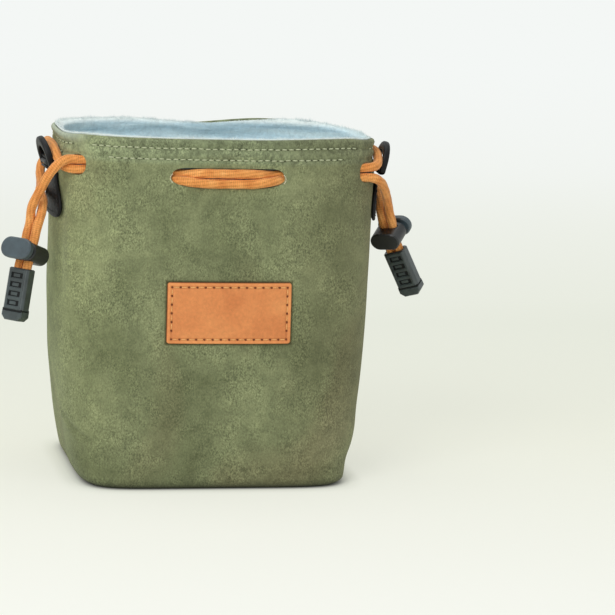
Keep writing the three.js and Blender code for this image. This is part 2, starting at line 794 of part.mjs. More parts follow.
function tipCover() {
  const shape = new THREE.Shape();
  shape.moveTo(-tipWidth / 2, -tipShellLength - gap);
  shape.lineTo(-tipWidth / 2, -tipLength + tipChamfer);
  shape.lineTo(-tipWidth / 2 + tipChamfer, -tipLength);
  shape.lineTo(tipWidth / 2 - tipChamfer, -tipLength);
  shape.lineTo(tipWidth / 2, -tipLength + tipChamfer);
  shape.lineTo(tipWidth / 2, -tipShellLength - gap);
  const cap = prism(shape, -tipDepth / 2, tipDepth / 2, tipBevel).rotateX(Math.PI / 2);
  const tongue = prism(
    slot(mouthWide - 2 * gap, mouthDeep - 2 * gap),
    -tipShellLength - 2 * gap,
    -tipShellLength + tongueLength,
  );
  return join(cap, tongue);
}

// The places of the locks and tips on their strands, with the way that the strands run
// through them and the way that each lock's button faces.
const hung = {
  left: {
    lock: [-89.4, -26, 106],
    strandWay: [-0.25, -0.25, -0.935],
    acrossWay: [0.72, -0.7, -0.01],
    buttonSide: -1,
    tip: [-91.3, -27.9, 98.8],
    tipWay: [-0.15, -0.14, -0.98],
  },
  right: {
    lock: [87, -3, 112.2],
    strandWay: [0.32, 0.25, -0.914],
    acrossWay: [0.807, -0.578, 0.124],
    buttonSide: 1,
    tip: [90.4, -1.3, 104.1],
    tipWay: [0.46, 0.1, -0.88],
  },
};

// A group whose local -Z or Y runs along way, with X as near across as it can be.
function placed(place, x, y, z) {
  const group = new THREE.Group();
  group.matrixAutoUpdate = false;
  group.matrix.makeBasis(x, y, z).setPosition(...place);
  hanging.add(group);
  return group;
}

for (const [side, at] of Object.entries(hung)) {
  const strand = new THREE.Vector3(...at.strandWay).normalize();
  const across = new THREE.Vector3(...at.acrossWay);
  across.addScaledVector(strand, -across.dot(strand)).normalize();
  const barrel = new THREE.Vector3().crossVectors(across, strand).multiplyScalar(at.buttonSide);
  const lock = placed(at.lock, across.clone().multiplyScalar(at.buttonSide), strand, barrel);
  const seat = new THREE.Matrix4().makeTranslation(0, 0, -lockHoleMiddle);
  add(`lock_${side}_body`, lockBody().applyMatrix4(seat), blackPlastic, lock);
  add(`lock_${side}_button`, lockButton().applyMatrix4(seat), blackPlastic, lock);
  add(`lock_${side}_spring`, lockSpring().applyMatrix4(seat), springSteel, lock);

  const down = new THREE.Vector3(...at.tipWay).normalize();
  const wide = new THREE.Vector3(...at.acrossWay);
  wide.addScaledVector(down, -wide.dot(down)).normalize();
  const up = down.clone().negate();
  const tip = placed(at.tip, wide, new THREE.Vector3().crossVectors(up, wide), up);
  add(`cord_tip_${side}_shell`, tipShell(), blackPlastic, tip);
  add(`cord_tip_${side}_cover`, tipCover(), blackPlastic, tip);
}

export default root;
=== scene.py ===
import json
import math
import random
from functools import cache

import bmesh
import bpy
import numpy as np
from mathutils import Matrix, Vector, noise


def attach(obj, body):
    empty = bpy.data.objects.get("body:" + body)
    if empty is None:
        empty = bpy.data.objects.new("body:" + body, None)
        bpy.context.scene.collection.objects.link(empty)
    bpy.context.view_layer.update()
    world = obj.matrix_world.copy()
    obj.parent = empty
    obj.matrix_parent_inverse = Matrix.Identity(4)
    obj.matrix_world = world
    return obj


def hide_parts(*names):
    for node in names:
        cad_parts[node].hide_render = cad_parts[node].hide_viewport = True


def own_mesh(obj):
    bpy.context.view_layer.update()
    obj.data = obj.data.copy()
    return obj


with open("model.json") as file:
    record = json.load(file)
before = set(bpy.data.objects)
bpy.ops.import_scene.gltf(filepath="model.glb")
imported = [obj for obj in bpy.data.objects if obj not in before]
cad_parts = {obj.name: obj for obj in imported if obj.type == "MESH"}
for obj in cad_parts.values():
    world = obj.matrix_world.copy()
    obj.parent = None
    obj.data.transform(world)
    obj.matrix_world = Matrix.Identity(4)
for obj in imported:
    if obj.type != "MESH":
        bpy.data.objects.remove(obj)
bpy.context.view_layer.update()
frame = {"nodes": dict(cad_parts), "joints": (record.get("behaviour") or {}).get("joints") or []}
random.seed(7)

MM = 0.001
scene = bpy.context.scene
scene.view_settings.view_transform = "Standard"

# The part's own sizes, in mm, as in its source
HEIGHT = 160
BASE_WIDTH, BASE_DEPTH = 124, 100
MOUTH_WIDTH, MOUTH_DEPTH = 152, 74
SWELL, DEPTH_TAPER = 36, 1.6
BASE_SQUARE, MOUTH_SQUARE, SQUARE_FALL = 7, 3.05, 20
BASE_ROLL = 3
GAP, SUEDE, PADDING, FLEECE = 0.3, 1.2, 4.4, 1.6
BASE_PADDING, BOARD = 4, 2
HEM, FOLD_RISE, LINING_DROP, LINING_BEND = 9.5, 1, 0.8, 2.6
CORD = 4.2
STRAND_GAP = 0.3
CORD_Z = 143
CHANNEL_SLACK, WINDOW_WIDTH, WINDOW_PROUD, HOLE_SLACK = 0.6, 52, 0.9, 0.5
SLIT_ALONG, SLIT_WIDTH = 70.5, 12
LEFT_SLIT_Z, RIGHT_SLIT_Z = 146.6, 144.8
LEFT_RISE, RIGHT_RISE = 3.6, 1.8
CROSSING_Z = 154
PULL_IN, PULL_SPREAD, PULL_REACH = 2.2, 9, 36
PATCH_W, PATCH_T, PATCH_THICK, PATCH_CORNER, PATCH_Z, PATCH_SHIFT = 58, 28, 1.6, 1.6, 82, 1.7
TAB_THICK, TAB_W, TAB_TOP_W, TAB_BOTTOM, TAB_CORNER = 1.5, 25, 15, 120.5, 5
HARDWARE_SHIFT, BAR_Z, BAR_D, BAR_SLACK, LOOP_WALL = 8, 145, 3, 0.3, 1
RING_W, RING_TALL, RING_STRAIGHT, RING_ARM, RING_BOW, RING_THICK = 20.4, 12.4, 2.6, 2.4, 4.4, 3
LEFT_LEAN, RIGHT_LEAN = 18, 13
TIP_WIDTH, TIP_DEPTH, TIP_LENGTH, TIP_COVER = 11, 6.6, 24, 4.4
SPRING_WIRE, SPRING_TURNS, PRESS_TRAVEL = 0.5, 3, 2

# What only the dressed part has: how far the held strands stand off the cloth, their drawn height
# at the sides, and a slit's width, height, corner and shift along the cloth
STRAND_OFF, CROSSING_DRAWN = 0.25, 152.5
DRAWN_SLIT = (9.2, 9.3, 3.9, 0.2)

CORD_R = CORD / 2
STRAND_RISE = (CORD + STRAND_GAP) / 2


def smooth(t):
    t = np.clip(t, 0, 1)
    return t * t * (3 - 2 * t)


def bell(t):
    return np.cos(np.pi / 2 * np.clip(t, -1, 1)) ** 2


def dent(value, centre, width):
    """1 at the centre, gone about two widths away."""
    return np.exp(-(((value - centre) / width) ** 2))


def waver(x, y, z):
    return noise.noise(Vector((x, y, z)))


def arc(points):
    """The distance run along a line of points, at each of them."""
    return np.concatenate([[0], np.cumsum(np.linalg.norm(np.diff(points, axis=0), axis=1))])


def wall_shape(z):
    """Half width, half depth and squareness of the bag at a height."""
    half_w = (BASE_WIDTH + (MOUTH_WIDTH - BASE_WIDTH) * (1 - np.exp(-z / SWELL))) / 2
    half_d = (BASE_DEPTH + (MOUTH_DEPTH - BASE_DEPTH) * (np.maximum(z, 0) / HEIGHT) ** DEPTH_TAPER) / 2
    return half_w, half_d, MOUTH_SQUARE + (BASE_SQUARE - MOUTH_SQUARE) * np.exp(-z / SQUARE_FALL)


def outline(angle, z, inset):
    """The bag's outline at one height: angle 0 is the middle of the front, a quarter turn is +X."""
    angle = np.asarray(angle, float)
    fold = BASE_ROLL * (1 - z / BASE_ROLL) ** 2 if z < BASE_ROLL else 0.0
    half_w, half_d, power = wall_shape(z)
    half_w, half_d = half_w - fold, half_d - fold
    s, c = np.sin(angle), np.cos(angle)
    across = np.sign(s) * np.abs(s) ** (2 / power)
    along = np.sign(c) * np.abs(c) ** (2 / power)
    pulled = PULL_IN * bell((z - CROSSING_Z) / PULL_SPREAD) * bell(half_d * along / PULL_REACH)
    x = (half_w - inset) * across - np.sign(across) * pulled
    return np.stack([x, -(half_d - inset) * along, np.full_like(across, z)], -1)


# Angles for measuring along an outline, closest where its sides are flat
QUARTER = np.linspace(0, 1, 901)[:-1]
QUARTER = QUARTER**4 / (QUARTER**4 + (1 - QUARTER) ** 4)
FINE = np.concatenate([(q + QUARTER) * np.pi / 2 for q in range(4)] + [[2 * np.pi]])


@cache
def lengths_at(z):
    return arc(outline(FINE, z, 0))


GIRTH = float(lengths_at(CORD_Z)[-1])


def angle_at(along, z):
    lengths = lengths_at(round(float(z), 4))
    return np.interp(np.mod(along, GIRTH) / GIRTH * lengths[-1], lengths, FINE)


def outward(along, z):
    """The way out of the cloth, level, at a place along it."""
    along = np.asarray(along, float)
    d = outline(angle_at(along + 1, z), z, 0) - outline(angle_at(along - 1, z), z, 0)
    n = np.stack([d[..., 1], -d[..., 0], np.zeros_like(d[..., 0])], -1)
    return n / np.linalg.norm(n, axis=-1, keepdims=True)


def on_wall(along, z, off):
    """A place by its distance along the cloth, its height and how far it stands off the outer face."""
    return outline(angle_at(along, z), z, 0) + outward(along, z) * np.asarray(off, float)[..., None]


def from_middle(along):
    """A place along the cloth by its distance from the middle of the front, below 0 on the left."""
    return np.mod(along + GIRTH / 2, GIRTH) - GIRTH / 2


def front_y(x, z):
    half_w, half_d, power = wall_shape(z)
    return -half_d * (1 - (np.abs(x) / half_w) ** power) ** (1 / power)


def sag(points):
    """The mouth's own waviness: every layer of the cloth moves by this together."""
    p = np.array(points, float)
    x, y, z = p[..., 0], p[..., 1], p[..., 2]
    top = smooth((z - 104) / 56)
    back = smooth((y + 6) / 24)
    front = smooth((-y - 2) / 22)
    hump, dip = dent(x, 31, 17), dent(x, -9, 17)
    right_end = smooth((x - 52) / 22)
    dz = back * (1.15 * hump - 1.35 * dip) - 1.7 * smooth((y + 22) / 20) * right_end
    rise = 0.45 + 0.6 * smooth((x - 10) / 40) - 1.5 * smooth((x - 56) / 14) - 0.9 * smooth((-x - 64) / 10)
    dz += front * rise
    dy = back * (0.6 * hump - 1.5 * dip - 1.4 * right_end)
    p[..., 1] += dy * top * (1 - smooth((np.abs(x) - 72) / 6))
    p[..., 2] += dz * smooth((z - 140) / 18)
    return p


def mesh_object(name, points, faces, smooth_faces=True, closed=False):
    """A mesh from points in mm. A closed one has its faces turned outwards."""
    mesh = bpy.data.meshes.new(name)
    mesh.from_pydata((np.array(points, float) * MM).tolist(), [], [list(f) for f in faces])
    if closed:
        bm = bmesh.new()
        bm.from_mesh(mesh)
        bmesh.ops.recalc_face_normals(bm, faces=bm.faces)
        bm.to_mesh(mesh)
        bm.free()
    mesh.polygons.foreach_set("use_smooth", [smooth_faces] * len(mesh.polygons))
    mesh.update()
    o = bpy.data.objects.new(name, mesh)
    scene.collection.objects.link(o)
    return o


def grid_faces(rows, cols, wrap_rows=False, wrap_cols=False):
    """Quads of a rows x cols grid of points numbered row by row."""
    down, over = np.arange(rows if wrap_rows else rows - 1), np.arange(cols if wrap_cols else cols - 1)
    r, c = np.meshgrid(down, over, indexing="ij")
    r2, c2 = (r + 1) % rows, (c + 1) % cols
    return np.stack([r * cols + c, r * cols + c2, r2 * cols + c2, r2 * cols + c], -1).reshape(-1, 4).tolist()


def sweep_faces(rings, per, start=0):
    """Bands between the rings of a sweep, per points in each, and a cap on both ends."""
    last = (rings - 1) * per
    faces = grid_faces(rings, per, wrap_cols=True)
    faces += [list(range(per))[::-1], list(range(last, last + per))]
    return [[start + i for i in f] for f in faces]


def end_faces(rows, cols):
    """Faces across both ends of a folded skin, between its outer and its inner run of rows."""
    faces = []
    for c in (0, cols - 1):
        i, j = 0, rows - 1
        while j - i > 1:
            corners = [i, j, j - 1, i + 1] if j - i > 2 else [i, j, i + 1]
            faces.append([k * cols + c for k in corners])
            i += 1
            j -= 1
    return faces


def hard_edges(o, degrees):
    """Smooth faces that break at edges sharper than this."""
    o.data.polygons.foreach_set("use_smooth", [True] * len(o.data.polygons))
    o.modifiers.new("edges", "EDGE_SPLIT").split_angle = math.radians(degrees)


def cut(o, cutters):
    for k in cutters:
        m = o.modifiers.new("cut", "BOOLEAN")
        m.operation, m.solver, m.object = "DIFFERENCE", "EXACT", k
    made = bpy.data.meshes.new_from_object(o.evaluated_get(bpy.context.evaluated_depsgraph_get()))
    o.modifiers.clear()
    o.data = made
    for k in cutters:
        bpy.data.objects.remove(k)


def cutter(shape, deep, place, facing):
    """A prism through a place, deep on both sides of it, whose section is a list of (x, y)."""
    up = Vector((0, 0, 1))
    facing = Vector(facing)
    across = up.cross(facing)
    points = [Vector(place) + across * x + up * y + facing * h for h in (-deep, deep) for x, y in shape]
    return mesh_object("cutter", points, sweep_faces(2, len(shape)), False)


def rounded(width, tall, corner, steps=8):
    """A rectangle with round corners as a list of (x, y), anticlockwise."""
    pts = []
    w, t = width / 2 - corner, tall / 2 - corner
    for cx, cy, first in ((w, t, 0), (-w, t, 90), (-w, -t, 180), (w, -t, 270)):
        for i in range(steps + 1):
            a = math.radians(first + 90 * i / steps)
            pts.append((cx + corner * math.cos(a), cy + corner * math.sin(a)))
    return pts


def tube(name, centre, radius, sides, relief=None):
    """A capped tube round a fine centreline. relief(turn, length) is added to the radius."""
    c = np.asarray(centre, float)
    s = arc(c)
    t = np.gradient(c, axis=0)
    t /= np.linalg.norm(t, axis=1)[:, None]
    n = np.zeros_like(c)
    n[0] = np.cross(t[0], (0, 0, 1.0) if abs(t[0][2]) < 0.9 else (1.0, 0, 0))
    n[0] /= np.linalg.norm(n[0])
    for i in range(1, len(c)):
        v = n[i - 1] - t[i] * (n[i - 1] @ t[i])
        n[i] = v / np.linalg.norm(v)
    b = np.cross(t, n)
    turn = np.linspace(0, 2 * np.pi, sides, endpoint=False)
    r = np.full((len(c), sides), float(radius))
    if relief is not None:
        r += relief(turn[None, :], s[:, None])
    ring = n[:, None, :] * np.cos(turn)[None, :, None] + b[:, None, :] * np.sin(turn)[None, :, None]
    points = np.concatenate([(c[:, None, :] + ring * r[:, :, None]).reshape(-1, 3), c[:1], c[-1:]])
    around, last = len(c) * sides, (len(c) - 1) * sides
    faces = grid_faces(len(c), sides, wrap_cols=True)
    faces += [[around, (i + 1) % sides, i] for i in range(sides)]
    faces += [[around + 1, last + i, last + (i + 1) % sides] for i in range(sides)]
    o = mesh_object(name, points, faces)
    # the lay attribute carries each point's rib height, from which the cord's rib light and shade is painted,
    # and its length along the cord
    if relief is not None:
        lay = np.zeros((len(points), 3), np.float32)
        lay[:around, 0] = rib_height(turn[None, :], s[:, None]).ravel()
        lay[:around, 1] = np.repeat(s, sides)
        o.data.attributes.new("lay", "FLOAT_VECTOR", "POINT").data.foreach_set("vector", lay.ravel())
    return o


def catmull(points, step):
    """A centripetal Catmull-Rom curve through the points, at even steps."""
    p = np.asarray(points, float)
    out = []
    for i in range(len(p) - 1):
        p1, p2 = p[i], p[i + 1]
        p0 = p[i - 1] if i else 2 * p1 - p2
        p3 = p[i + 2] if i + 2 < len(p) else 2 * p2 - p1
        d = [max(float(np.linalg.norm(b - a)) ** 0.5, 1e-3) for a, b in ((p0, p1), (p1, p2), (p2, p3))]
        m1 = ((p1 - p0) / d[0] - (p2 - p0) / (d[0] + d[1]) + (p2 - p1) / d[1]) * d[1]
        m2 = ((p2 - p1) / d[1] - (p3 - p1) / (d[1] + d[2]) + (p3 - p2) / d[2]) * d[1]
        w = np.linspace(0, 1, 24, endpoint=False)[:, None]
        cubed = 2 * p1 - 2 * p2 + m1 + m2
        out.append(p1 + m1 * w + (-3 * p1 + 3 * p2 - 2 * m1 - m2) * w**2 + cubed * w**3)
    c = np.concatenate(out + [p[-1:]])
    s = arc(c)
    t = np.linspace(0, s[-1], max(2, int(round(s[-1] / step))) + 1)
    return np.stack([np.interp(t, s, c[:, k]) for k in range(3)], 1)


def srgb(*colour):
    """A colour as a picture writes it, from 0 to 255, turned into the shader's own numbers."""
    shares = [c / 255 for c in colour]
    return tuple(v / 12.92 if v <= 0.04045 else ((v + 0.055) / 1.055) ** 2.4 for v in shares)


class Nodes:
    """The nodes of one material, behind short names. Places are in metres."""

    def __init__(self, material):
        self.tree = material.node_tree
        self.bsdf = self.tree.nodes["Principled BSDF"]
        self.place = self.add("ShaderNodeNewGeometry").outputs["Position"]
        self.normal = None

    def add(self, kind, **values):
        n = self.tree.nodes.new(kind)
        for key, value in values.items():
            if key.startswith("in_"):
                n.inputs[key[3:].replace("_", " ")].default_value = value
            else:
                setattr(n, key, value)
        return n

    def feed(self, socket, value):
        """Links a value into a socket, or sets it there when it is a plain number or colour."""
        if isinstance(value, bpy.types.NodeSocket):
            self.tree.links.new(value, socket)
        else:
            socket.default_value = (*value, 1) if socket.type == "RGBA" else value

    def base(self, colour):
        self.feed(self.bsdf.inputs["Base Color"], colour)

    def rough(self, value, low, high):
        self.feed(self.bsdf.inputs["Roughness"], self.ramp(value, (0.3, low), (0.7, high)))

    def noise(self, scale, detail=4.0, rough=0.55, distortion=0.0):
        """Noise of one scale, or of three scales along x, y and z."""
        where = self.place
        if isinstance(scale, tuple):
            mapping = self.add("ShaderNodeMapping", in_Scale=scale)
            self.feed(mapping.inputs["Vector"], where)
            where, scale = mapping.outputs["Vector"], 1
        n = self.add("ShaderNodeTexNoise", in_Scale=scale, in_Detail=detail, in_Roughness=rough)
        n.inputs["Distortion"].default_value = distortion
        self.feed(n.inputs["Vector"], where)
        return n.outputs["Fac"]

    def cells(self, scale):
        n = self.add("ShaderNodeTexVoronoi", in_Scale=scale)
        self.feed(n.inputs["Vector"], self.place)
        return n.outputs["Distance"]

    def ramp(self, value, *stops):
        """A colour ramp. A stop is a position and one number for a grey, or three for a colour."""
        n = self.add("ShaderNodeValToRGB")
        e = n.color_ramp.elements
        while len(e) < len(stops):
            e.new(0.5)
        for k, (at, *colour) in enumerate(stops):
            e[k].position = at
            e[k].color = (*(colour * 3)[:3], 1)
        self.feed(n.inputs["Fac"], value)
        return n.outputs["Color"]

    def dye(self, value, *stops):
        """A ramp whose colours are written from 0 to 255."""
        return self.ramp(value, *((at, *srgb(*colour)) for at, *colour in stops))

    def mix(self, a, b, share, mode="MIX"):
        n = self.add("ShaderNodeMix", data_type="RGBA", blend_type=mode)
        for socket, value in zip((n.inputs[0], n.inputs[6], n.inputs[7]), (share, a, b)):
            self.feed(socket, value)
        return n.outputs[2]

    def shade(self, colour, by, share=1.0):
        return self.mix(colour, by, share, "MULTIPLY")

    def math(self, kind, a, b=None, clamp=False):
        n = self.add("ShaderNodeMath", operation=kind, use_clamp=clamp)
        self.feed(n.inputs[0], a)
        if b is not None:
            self.feed(n.inputs[1], b)
        return n.outputs[0]

    def times(self, a, b):
        return self.math("MULTIPLY", a, b)

    def apart(self, vector):
        n = self.add("ShaderNodeSeparateXYZ")
        self.feed(n.inputs[0], vector)
        return n.outputs

    def span(self, value, low, high):
        """0 below low, 1 above high, straight between."""
        n = self.add("ShaderNodeMapRange", clamp=True, in_From_Min=low, in_From_Max=high)
        self.feed(n.inputs["Value"], value)
        return n.outputs["Result"]

    def bump(self, height, strength, distance):
        """Relief on top of what relief there is."""
        n = self.add("ShaderNodeBump", in_Strength=strength, in_Distance=distance)
        self.feed(n.inputs["Height"], height)
        if self.normal is not None:
            self.feed(n.inputs["Normal"], self.normal)
        self.normal = n.outputs["Normal"]
        self.feed(self.bsdf.inputs["Normal"], self.normal)

    def inside_patch(self):
        """How far inside the leather patch's edge a place lies; below 0 outside it."""
        x, _, z = self.apart(self.place)
        inside = []
        for value, middle, half in ((x, PATCH_SHIFT, PATCH_W / 2), (z, PATCH_Z, PATCH_T / 2)):
            away = self.math("ABSOLUTE", self.math("SUBTRACT", value, middle * MM))
            inside.append(self.math("SUBTRACT", half * MM, away))
        return self.math("MINIMUM", *inside)


def suede_nodes(n):
    x, y, z = n.apart(n.place)
    cloud, warm = n.noise(24, 3, 0.55, 0.5), n.noise((15, 15, 10.5), 2, 0.5, 0.8)
    patchy, nap = n.noise(150, 4, 0.65, 0.4), n.noise((1450, 1450, 1000), 3, 0.75, 0.3)
    busy = n.noise(62, 3, 0.6, 0.6)
    green = n.dye(cloud, (0.32, 106, 112, 79), (0.5, 122, 128, 93), (0.68, 137, 143, 105))
    brown = n.dye(cloud, (0.32, 103, 99, 71), (0.5, 119, 114, 83), (0.68, 134, 129, 97))
    # painted shade: towards its right end the cloth turns browner and darker, away from the light
    side = n.times(n.span(x, 0.02, 0.075), 0.7)
    where = n.math("ADD", n.span(warm, 0.5, 0.7), side, True)
    colour = n.mix(green, brown, n.times(where, 0.75))
    colour = n.shade(colour, n.ramp(patchy, (0.36, 0.82), (0.5, 1), (0.66, 1.14)), 0.85)
    brushed = n.math("ADD", n.times(n.span(busy, 0.4, 0.62), 0.6), 0.32)
    colour = n.shade(colour, n.ramp(nap, (0.36, 0.48), (0.5, 1), (0.64, 1.6)), brushed)
    # painted shade: the cloth darkens towards the floor, and a painted contact shadow darkens its lowest 5 mm
    colour = n.shade(colour, n.ramp(n.span(z, 0, 0.09), (0, 0.88), (1, 1)))
    colour = n.shade(colour, n.ramp(n.span(z, 0, 0.005), (0, 0.2), (0.5, 0.7), (1, 1)))
    # the hem's cloth is gathered: its puckers get painted light and shade, the hem band a painted lighter,
    # bluish sheen, and the rim above the top row of stitches painted shade
    gather, in_hem = n.noise((420, 420, 230), 3, 0.65, 0.4), n.span(z, 0.1485, 0.1505)
    colour = n.shade(colour, n.ramp(gather, (0.36, 0.68), (0.5, 1.08), (0.64, 1.34)), n.times(in_hem, 0.75))
    colour = n.shade(colour, (1.06, 1.1, 1.2), in_hem)
    colour = n.shade(colour, (0.88, 0.88, 0.88), n.span(z, 0.1555, 0.157))
    # painted light: the cloth is palest down its left end, which faces the light, and the fold at that end of
    # the mouth has a pale painted highlight
    left = n.times(x, -1.0)
    colour = n.shade(colour, (1.12, 1.12, 1.08), n.span(left, 0.045, 0.07))
    fold_highlight = n.times(n.span(z, 0.1555, 0.1598), n.span(left, 0.062, 0.073))
    colour = n.mix(colour, srgb(196, 206, 194), n.times(fold_highlight, 0.6))
    # painted shadow: the cloth darkens just outside the leather patch's edge on the front
    patch_edge_shadow = n.times(n.span(n.inside_patch(), -0.0011, -0.0001), n.span(y, -0.02, -0.03))
    n.base(n.shade(colour, (0.42, 0.36, 0.3), patch_edge_shadow))
    n.bump(patchy, 0.35, 0.0008)
    n.bump(nap, 0.75, 0.0004)


def fleece_nodes(n):
    tuft, soft = n.noise(420, 4, 0.65, 0.8), n.noise((28, 28, 260), 3, 0.5, 0.6)
    z = n.apart(n.place)[2]
    colour = n.dye(soft, (0.3, 174, 202, 214), (0.5, 202, 225, 233), (0.7, 220, 238, 241))
    colour = n.mix(colour, srgb(240, 246, 242), n.times(n.span(z, 0.1583, 0.1602), 0.8))
    n.base(n.shade(colour, n.ramp(tuft, (0.3, 0.8), (0.5, 1), (0.72, 1.2)), 0.65))
    n.bump(soft, 0.5, 0.0012)
    n.bump(tuft, 0.8, 0.0008)


def fringe_nodes(n):
    n.base(n.dye(n.noise(260, 3, 0.6), (0.3, 205, 218, 220), (0.7, 240, 246, 244)))


def leather_nodes(n):
    tone, pores, fine = n.noise(60, 4, 0.6, 0.4), n.cells(1500), n.noise(700, 3, 0.6)
    colour = n.dye(tone, (0.3, 210, 127, 71), (0.5, 221, 139, 80), (0.72, 230, 151, 89))
    colour = n.shade(colour, n.ramp(fine, (0.3, 0.86), (0.7, 1.1)), 0.7)
    # inwards from the patch's edge: dark cut edge, its edge paint also standing in for painted shadow along
    # the edge, then pale bevel, dark stitch groove
    stops = ((0, 0.32), (0.04, 0.8), (0.1, 1.13), (0.38, 1.08), (0.5, 0.84), (0.62, 0.92), (0.75, 1))
    edge = [(at, v, v**1.25, v**1.4) for at, v in stops]
    n.base(n.shade(colour, n.ramp(n.span(n.inside_patch(), 0, 0.004), *edge)))
    n.bump(pores, 0.3, 0.0002)
    n.bump(fine, 0.3, 0.0002)


def black_leather_nodes(n):
    pores, fine = n.cells(1100), n.noise(300, 4, 0.6)
    n.base(n.dye(fine, (0.3, 6, 6, 7), (0.7, 18, 19, 20)))
    n.rough(fine, 0.45, 0.62)
    n.bump(pores, 0.35, 0.0003)


YARN_PICK = 0.9


def braid_nodes(n):
    rib, length, _ = n.apart(n.add("ShaderNodeAttribute", attribute_name="lay").outputs["Vector"])
    yarn, tone = n.noise(1500, 3, 0.65), n.noise(170, 3, 0.5)
    colour = n.dye(tone, (0.3, 214, 134, 66), (0.55, 229, 153, 81), (0.75, 240, 170, 98))
    # painted light and shade: the yarn ribs are painted dark in their valleys and pale on their crests, and
    # the picks along the cord painted darker and lighter
    ribs = n.ramp(rib, (0, 0.46, 0.33, 0.26), (0.3, 0.86, 0.79, 0.72), (0.6, 1), (1, 1.14, 1.17, 1.25))
    colour = n.shade(colour, ribs, 0.85)
    pick = n.span(n.math("SINE", n.times(length, 2 * math.pi / YARN_PICK)), -1, 1)
    colour = n.shade(colour, n.ramp(pick, (0, 0.84), (0.5, 1), (1, 1.08)), 0.8)
    n.base(n.shade(colour, n.ramp(yarn, (0.3, 0.72), (0.5, 1), (0.72, 1.22)), 0.6))
    n.bump(pick, 0.5, 0.00015)
    n.bump(yarn, 0.55, 0.0003)


def thread_nodes(low, high):
    def build(n):
        ply = n.noise(2600, 2, 0.6)
        n.base(n.dye(ply, (0.35, *low), (0.65, *high)))
        n.bump(ply, 0.4, 0.0001)

    return build


def plastic_nodes(low, high, rough_low, rough_high):
    def build(n):
        fine, wear = n.noise(1400, 3, 0.6), n.noise(110, 4, 0.6, 0.4)
        n.base(n.dye(wear, (0.35, *low), (0.7, *high)))
        n.rough(fine, rough_low, rough_high)
        n.bump(fine, 0.18, 0.0001)

    return build


def steel_nodes(n):
    fine = n.noise(2400, 2, 0.6)
    n.base(n.dye(fine, (0.3, 150, 152, 154), (0.7, 186, 188, 190)))
    n.rough(fine, 0.24, 0.38)
    n.bump(fine, 0.1, 0.00005)


def foam_nodes(n):
    cell = n.cells(900)
    n.base(n.dye(cell, (0.1, 60, 62, 66), (0.5, 88, 90, 94)))
    n.bump(cell, 0.5, 0.0004)


def paper_nodes(n):
    """Lit paper round the bag, so that it keeps the shadow. Further off, the camera sees the paper glow with
    a painted fall of light, palest in front and up the curve and darkest on the floor behind the bag.
    """
    x, y, _ = n.apart(n.place)
    near = n.dye(n.span(y, -0.35, 0.35), (0, 246, 247, 240), (0.6, 240, 241, 229), (1, 234, 237, 226))
    near = n.shade(near, n.ramp(n.noise(3, 2, 0.5), (0.3, 0.985), (0.7, 1)))
    # painted light: the glow's colour falls from pale in front to darkest on the floor behind the bag, and
    # rises again up the curve
    far = n.add("ShaderNodeEmission", in_Strength=1.0)
    stops = ((0, 250, 251, 245), (0.24, 240, 241, 228), (0.45, 232, 235, 223), (0.7, 237, 240, 232))
    n.feed(far.inputs["Color"], n.dye(n.span(y, -0.3, 1.1), *stops, (1, 244, 247, 245)))
    rays = n.add("ShaderNodeLightPath").outputs
    seen = n.math("MAXIMUM", rays["Is Camera Ray"], rays["Is Glossy Ray"])
    seen = n.math("MAXIMUM", seen, rays["Is Transmission Ray"])
    # how far a place on the floor lies outside the foot of the bag
    powers = []
    for value, side in ((x, BASE_WIDTH), (y, BASE_DEPTH)):
        part = n.math("DIVIDE", n.math("ABSOLUTE", value), (side / 2 - BASE_ROLL) * MM)
        powers.append(n.math("POWER", part, float(BASE_SQUARE)))
    reach = n.math("POWER", n.math("ADD", *powers), 1 / BASE_SQUARE)
    away = n.times(n.math("SUBTRACT", reach, 1.0), BASE_DEPTH / 2 * MM)
    # painted contact shadow on the floor round the foot of the bag
    painted_contact_shadow = n.ramp(n.span(away, -0.001, 0.006), (0, 0.12), (0.35, 0.4), (0.7, 0.86), (1, 1))
    n.base(n.shade(near, painted_contact_shadow))
    close, behind = n.times(n.span(away, 0, 0.011), 0.68), n.times(n.span(y, 0.1, 0.4), 0.32)
    both = n.add("ShaderNodeMixShader")
    n.feed(both.inputs[0], n.times(n.math("ADD", close, behind), seen))
    n.feed(both.inputs[1], n.bsdf.outputs[0])
    n.feed(both.inputs[2], far.outputs[0])
    n.feed(n.tree.nodes["Material Output"].inputs["Surface"], both.outputs[0])


def material(name, build, roughness=0.7, specular=0.5, **sockets):
    m = bpy.data.materials.new(name)
    m.use_nodes = True
    n = Nodes(m)
    for key, value in {"Roughness": roughness, "Specular_IOR_Level": specular, **sockets}.items():
        n.feed(n.bsdf.inputs[key.replace("_", " ")], value)
    build(n)
    return m


suede = material(
    "suede", suede_nodes, 0.95, 0.15, Sheen_Weight=0.22, Sheen_Roughness=0.6, Sheen_Tint=(0.75, 0.8, 0.6)
)
fleece = material("fleece", fleece_nodes, 0.95, 0.15, Sheen_Weight=0.6, Sheen_Roughness=0.5)
fringe = material("fleece_tips", fringe_nodes, 0.9, Sheen_Weight=0.4)
leather = material("tan_leather", leather_nodes, 0.55, 0.4)
black_leather = material("black_leather", black_leather_nodes, specular=0.25)
braid = material("cord_braid", braid_nodes, 0.75, 0.3, Sheen_Weight=0.25, Sheen_Roughness=0.4)
steel = material("spring_steel", steel_nodes, Metallic=1.0)
foam = material("foam", foam_nodes, 0.95)

thread = material("olive_thread", thread_nodes((168, 174, 138), (206, 211, 176)))
tan_thread = material("tan_thread", thread_nodes((222, 158, 92), (250, 204, 132)))
pale_thread = material("pale_thread", thread_nodes((206, 196, 166), (240, 232, 208)))
black_thread = material("black_thread", thread_nodes((30, 31, 32), (62, 64, 66)))
